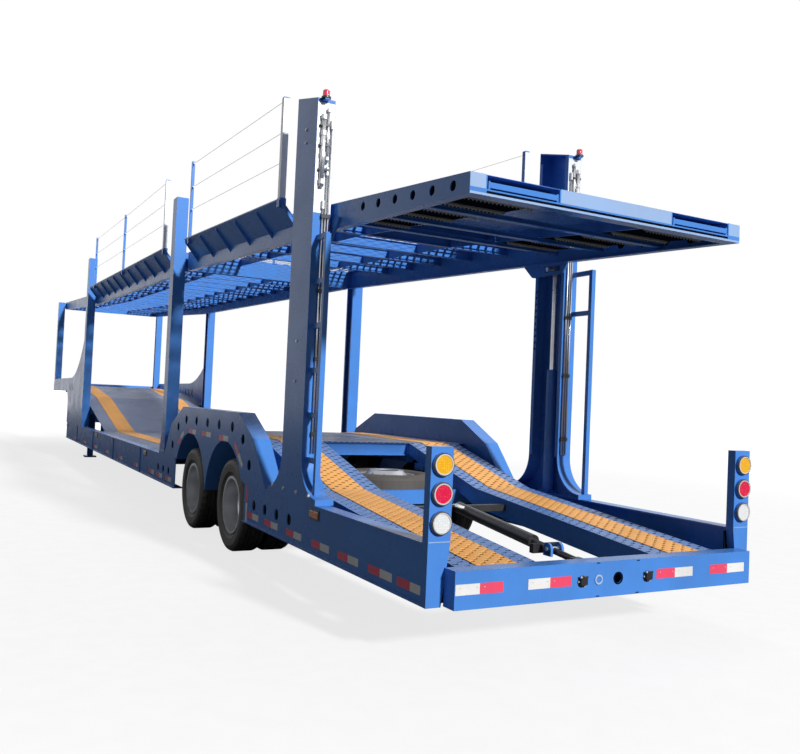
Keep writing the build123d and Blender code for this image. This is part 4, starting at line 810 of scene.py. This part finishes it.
def wheel(name, sign):
    """Twin tyres with tread, wheel nuts and a hub cap, on one end of an axle."""
    body = f"wheels_{name}"
    low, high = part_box(f"tyres_{name}")
    hub = (low + high) / 2
    bm = bmesh.new()
    for across in (low.y + TYRE_WIDTH / 2, high.y - TYRE_WIDTH / 2):
        tyre(bm, (hub.x, across, hub.z))
    made = piece(f"tread_tyres_{name}", bm, body, tyre_rubber, smooth=True)
    made.data.set_sharp_from_angle(angle=radians(32))
    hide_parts(f"tyres_{name}")
    nuts, caps = bmesh.new(), bmesh.new()
    for i in range(NUTS):
        angle = (i + 0.5) * 2 * pi / NUTS
        x, z = hub.x + NUT_CIRCLE * cos(angle), hub.z + NUT_CIRCLE * sin(angle)
        rod(nuts, (x, sign * (DISC - 0.001), z), (x, sign * (DISC + 0.020), z), 0.0155, 6)
        rod(nuts, (x, sign * (DISC + 0.020), z), (x, sign * (DISC + 0.034), z), 0.0095, 10)
    piece(f"wheel_nuts_{name}", nuts, body, bare_steel, bevel=0.0015)
    turned(caps, [(0.0, 0.0), (0.066, 0.0), (0.080, -0.003), (0.082, -0.014), (0.0, -0.014)],
           (hub.x, sign * HUB_END, hub.z), (0, sign, 0), 32)
    for i in range(CAP_BOLTS):
        angle = i * 2 * pi / CAP_BOLTS
        x, z = hub.x + CAP_CIRCLE * cos(angle), hub.z + CAP_CIRCLE * sin(angle)
        rod(caps, (x, sign * (HUB_END - 0.015), z), (x, sign * (HUB_END - 0.006), z), 0.008, 6)
    piece(f"hub_cap_{name}", caps, body, wheel_grey, bevel=0.001)


for axle in ("rear", "front"):
    for side, side_sign in (("left", 1), ("right", -1)):
        wheel(f"{axle}_{side}", side_sign)

# ---- safety ropes and stanchions -----------------------------------------------------
STANCHIONS = {"rear": [(2.720, 3.875), (5.650, 4.030)],
              "front": [(6.930, 4.095), (9.750, 4.150), (12.600, 4.225)]}     # places along and tops
DECKS = (("rear", REAR_DECK, REAR_DECK_LINE), ("front", CHASSIS, FRONT_DECK_LINE))
STANCHION_FOOT = 0.095       # above the deck's line
ROPE_HEIGHTS = (0.97, 0.66, 0.36)        # shares of a stanchion's height
ROPE_RADIUS = 0.0020
ROPE_INSET = 0.024           # from the trailer's side
EYE_RADIUS, EYE_START, EYE_END = 0.008, 0.012, 0.050


def ropes():
    """Taut safety ropes between the stanchions, with the eyes at their ends."""
    for deck, body, line in DECKS:
        cords, eyes = bmesh.new(), bmesh.new()
        posts = STANCHIONS[deck]
        for sign in SIDES:
            for share in ROPE_HEIGHTS:
                knots = []
                for along, top in posts:
                    foot = height_on(line, along) + STANCHION_FOOT
                    knots.append(Vector((at(along), sign * (HALF - ROPE_INSET), foot + (top - foot) * share)))
                for first, last in zip(knots, knots[1:]):
                    rod(cords, first, last, ROPE_RADIUS, 6)
                    way = (last - first).normalized()
                    for point, ahead in ((first, way), (last, -way)):
                        rod(eyes, point + ahead * EYE_START, point + ahead * EYE_END, EYE_RADIUS, 8)
        piece(f"{deck}_safety_ropes", cords, body, white_cord)
        piece(f"{deck}_rope_eyes", eyes, body, zinc)


def stanchion_sleeves():
    """Bright sleeves on the rear and outer faces of each deck's rearmost stanchions."""
    for deck, body, line in DECKS:
        along, top = STANCHIONS[deck][0]
        rear = along - 0.0252
        high = (height_on(line, along) + 0.097, top - 0.012)
        bm = bmesh.new()
        for sign in SIDES:
            side_block(bm, sign, (rear, rear + 0.001), (HALF - 0.0550, HALF - 0.0050), high)
            side_block(bm, sign, (rear, along + 0.0242), (HALF - 0.0058, HALF - 0.0048), high)
        piece(f"{deck}_stanchion_sleeves", bm, body, silver)


ropes()
stanchion_sleeves()

# ---- pipes on the rear columns -------------------------------------------------------
COLUMN = 1.950               # rear face of the rear columns
LONG_PIPES = ((1.136, 3.45), (1.158, 3.10), (1.180, 2.85))      # from the middle, and top
LONG_PIPE_FOOT = 1.03
LONG_CLIPS = (1.15, 1.70, 2.20, 2.75)    # feet of the clips on the long pipes
SHORT_CLIPS = (3.10, 3.28, 3.43)
RUBBING_STRIP = (2.790, 3.612)


def short_pipe(pipes, joints, x, y, foot, top, radius, sides, nuts, nut_radius, nut_high):
    """Upright pipe with nuts round it at some heights."""
    rod(pipes, (x, y, foot), (x, y, top), radius, sides)
    for high in nuts:
        rod(joints, (x, y, high), (x, y, high + nut_high), nut_radius, 6)


def column_lines():
    """Oil pipes, joints, clips and rubbing strips on the rear faces of the rear columns."""
    pipes, clips, joints, rubbing = bmesh.new(), bmesh.new(), bmesh.new(), bmesh.new()
    face = at(COLUMN)
    for sign in SIDES:
        for across, top in LONG_PIPES:
            x, y = face - 0.016, sign * across
            rod(pipes, (x, y, LONG_PIPE_FOOT), (x, y, top), 0.007, 10)
            rod(joints, (x, y, top - 0.03), (x, y, top + 0.03), 0.012, 6)
            rod(joints, (x, y, top + 0.03), (face + 0.004, y, top + 0.03), 0.009, 8)
        short_pipe(pipes, joints, face - 0.021, sign * 1.203, 2.98, 3.50, 0.018, 20,
                   (3.00, 3.20, 3.36, 3.48), 0.0225, 0.034)
        short_pipe(pipes, joints, face - 0.018, sign * 1.166, 3.16, 3.56, 0.011, 16,
                   (3.18, 3.34, 3.54), 0.015, 0.024)
        for high in LONG_CLIPS:
            side_block(clips, sign, (COLUMN - 0.026, COLUMN), (1.124, 1.192), (high, high + 0.030))
        for high in SHORT_CLIPS:
            side_block(clips, sign, (COLUMN - 0.030, COLUMN), (1.148, 1.232), (high, high + 0.016))
        side_block(rubbing, sign, (COLUMN - 0.0012, COLUMN - SEAT), (1.112, 1.248), RUBBING_STRIP)
    piece("oil_pipes", pipes, CHASSIS, bare_steel, smooth=True)
    piece("pipe_clips", clips, CHASSIS, black_paint, bevel=0.002)
    piece("pipe_joints", joints, CHASSIS, zinc)
    piece("column_rubbing_strips", rubbing, CHASSIS, silver)


column_lines()

# ---- bolts, lamp trims, painted shade behind holes and the tail cylinder's fittings ---
COLUMN_MIDDLE = 2.150
COLUMN_FOOT_BOLTS, COLUMN_FOOT_HIGH = (1.78, 2.02, 2.28, 2.52), 0.735
POST_FOOT_BOLTS, POST_FOOT_HIGH = (6.30, 6.40, 6.49), 0.720
COLUMN_BOLTS = (1.55, 1.85, 3.35, 3.45)  # heights up a column


def bolt(bm, place, way, size=0.012):
    """Hexagon bolt head on a washer, standing off a face along a direction."""
    place, way = Vector(place), Vector(way)
    washer = place + way * 0.003
    rod(bm, place, washer, size * 1.25, 12)
    rod(bm, washer, washer + way * size * 0.65, size, 6)


def bolts():
    """Bolt heads on the feet of the rear columns and the posts ahead of the wheels, and up the columns."""
    bm = bmesh.new()
    for sign in SIDES:
        out = (0, sign, 0)
        side = sign * (HALF - 0.001)
        for along in COLUMN_FOOT_BOLTS:
            bolt(bm, (at(along), side, COLUMN_FOOT_HIGH), out)
        for along in POST_FOOT_BOLTS:
            bolt(bm, (at(along), side, POST_FOOT_HIGH), out)
        for high in COLUMN_BOLTS:
            bolt(bm, (at(COLUMN_MIDDLE), side, high), out, 0.010)
    piece("bolt_heads", bm, CHASSIS, zinc)


def lamp_bases():
    """Black bases of the red lamps on the columns."""
    low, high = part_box("column_lamps")
    bm = bmesh.new()
    for sign in SIDES:
        turned(bm, [(0.0, 0.0), (0.036, 0.0), (0.036, 0.012), (0.029, 0.016), (0.0275, 0.016), (0.0, 0.004)],
               ((low.x + high.x) / 2, sign * (HALF - 0.050), low.z), (0, 0, 1), 24)
    piece("lamp_bases", bm, CHASSIS, black_paint)


def lamp_rings():
    """Rubber grommets and bright rings round the lamps of the rear posts."""
    grommets, rings = bmesh.new(), bmesh.new()
    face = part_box("lamp_posts")[0].x
    for name in ("amber_lamps", "red_lamps", "white_lamps"):
        low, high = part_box(name)
        radius = (high.z - low.z) / 2
        out = face - low.x
        for sign in SIDES:
            middle = (face, sign * (high.y - radius), (low.z + high.z) / 2)
            turned(grommets, [(radius + 0.0004, 0.0), (radius + 0.0004, 0.006), (radius + 0.005, 0.0070),
                              (radius + 0.008, 0.004), (radius + 0.008, 0.0)], middle, (-1, 0, 0), 40)
            turned(rings, [(radius - 0.0055, out), (radius - 0.0055, out + 0.003),
                           (radius + 0.0012, out + 0.003), (radius + 0.0012, out - 0.004),
                           (radius + 0.0003, out - 0.004), (radius + 0.0003, out)], middle, (-1, 0, 0), 40)
    piece("lamp_grommets", grommets, CHASSIS, rubber, smooth=True)
    piece("lamp_rings", rings, CHASSIS, zinc)


DECK_HOLES = [(0.285 + i * 0.235, 2.664 + i * 0.0204) for i in range(6)]
RAIL_HOLES = [(6.055 + i * 0.270, 0.510) for i in range(3)]
NOSE_HOLES = [(14.78, 1.42), (15.06, 1.42), (15.34, 1.42), (15.08, 1.15), (15.18, 0.86), (14.70, 1.00)]
NOSE_PLATE_HALF = (0.026, 0.070)         # along and in height


def hole_backs():
    """Near-black sheets behind the holes of the rails, the nose and the upper deck's side beams, painting the
    shade of the inner plates seen through them, and a near-black plate that paints the shade in the corner
    just ahead of each lamp post.
    """
    fixed, hung = bmesh.new(), bmesh.new()
    for sign in SIDES:
        for along, high in DECK_HOLES:
            rod(hung, (at(along), sign * 1.0715, high), (at(along), sign * 1.0695, high), 0.036, 24)
        for along, high in RAIL_HOLES:
            rod(fixed, (at(along), sign * 1.2298, high), (at(along), sign * 1.2280, high), 0.050, 24)
        long, tall = NOSE_PLATE_HALF
        for along, high in NOSE_HOLES:
            side_block(fixed, sign, (along - long, along + long), (1.2400, 1.2418),
                       (high - tall, high + tall))
        # Near-black plate that paints the shade in the corner just ahead of the lamp post.
        side_block(fixed, sign, (0.1702, 0.1760), (1.096, 1.200), (0.346, 0.660))
    piece("hole_shade_plates", fixed, CHASSIS, slot_shade)
    piece("deck_hole_shade_plates", hung, REAR_DECK, slot_shade)


PIN = (0.600, 0.515)         # place along and height of the tail cylinder's pin
EAR_AT, EAR_HALF, EAR_RADIUS, EAR_FOOT = 0.045, 0.009, 0.040, 0.470


def cylinder_clevis():
    """Ears, pin and oil fitting of the tail cylinder."""
    ears, pins = bmesh.new(), bmesh.new()
    along, high = PIN
    for y in (-EAR_AT, EAR_AT):
        near, far = y - EAR_HALF, y + EAR_HALF
        block(ears, (at(along - EAR_RADIUS), near, EAR_FOOT), (at(along + EAR_RADIUS), far, high))
        rod(ears, (at(along), near, high), (at(along), far, high), EAR_RADIUS, 24)
    rod(pins, (at(along), -0.064, high), (at(along), 0.064, high), 0.013, 16)
    elbow = (at(1.640), 0.105, 0.665)
    rod(pins, (at(1.640), 0.030, 0.640), elbow, 0.016, 6)
    rod(pins, elbow, (at(1.780), 0.120, 0.640), 0.010, 10)
    piece("cylinder_ears", ears, CHASSIS, blue_paint)
    piece("cylinder_fittings", pins, CHASSIS, bare_steel)


BEAD_LONG = 0.012
POST_WELD_HIGH = 0.688
FOOT_WELDS, FOOT_WELD_HIGH = (1.675, 2.625), 0.682


def weld(bm, start, end, size):
    """Rippled fillet weld along a joint, as a row of short cones."""
    start, end = Vector(start), Vector(end)
    count = max(2, int((end - start).length / BEAD_LONG))
    for i in range(count):
        rod(bm, start.lerp(end, i / count), start.lerp(end, (i + 1.25) / count), size, 6, tip=size * 0.72)


def welds():
    """Weld lines across the lamp posts and along the columns' feet."""
    bm = bmesh.new()
    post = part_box("lamp_posts")[0].x + 0.016
    for sign in SIDES:
        weld(bm, (post, sign * (HALF - 0.136), POST_WELD_HIGH), (post, sign * (HALF - 0.004), POST_WELD_HIGH),
             0.004)
        for along in FOOT_WELDS:
            weld(bm, (at(along), sign * (HALF - 0.002), FOOT_WELD_HIGH),
                 (at(along), sign * (HALF - 0.120), FOOT_WELD_HIGH), 0.005)
    piece("weld_lines", bm, CHASSIS, faded_sheen_blue)


bolts()
lamp_bases()
lamp_rings()
hole_backs()
cylinder_clevis()
welds()
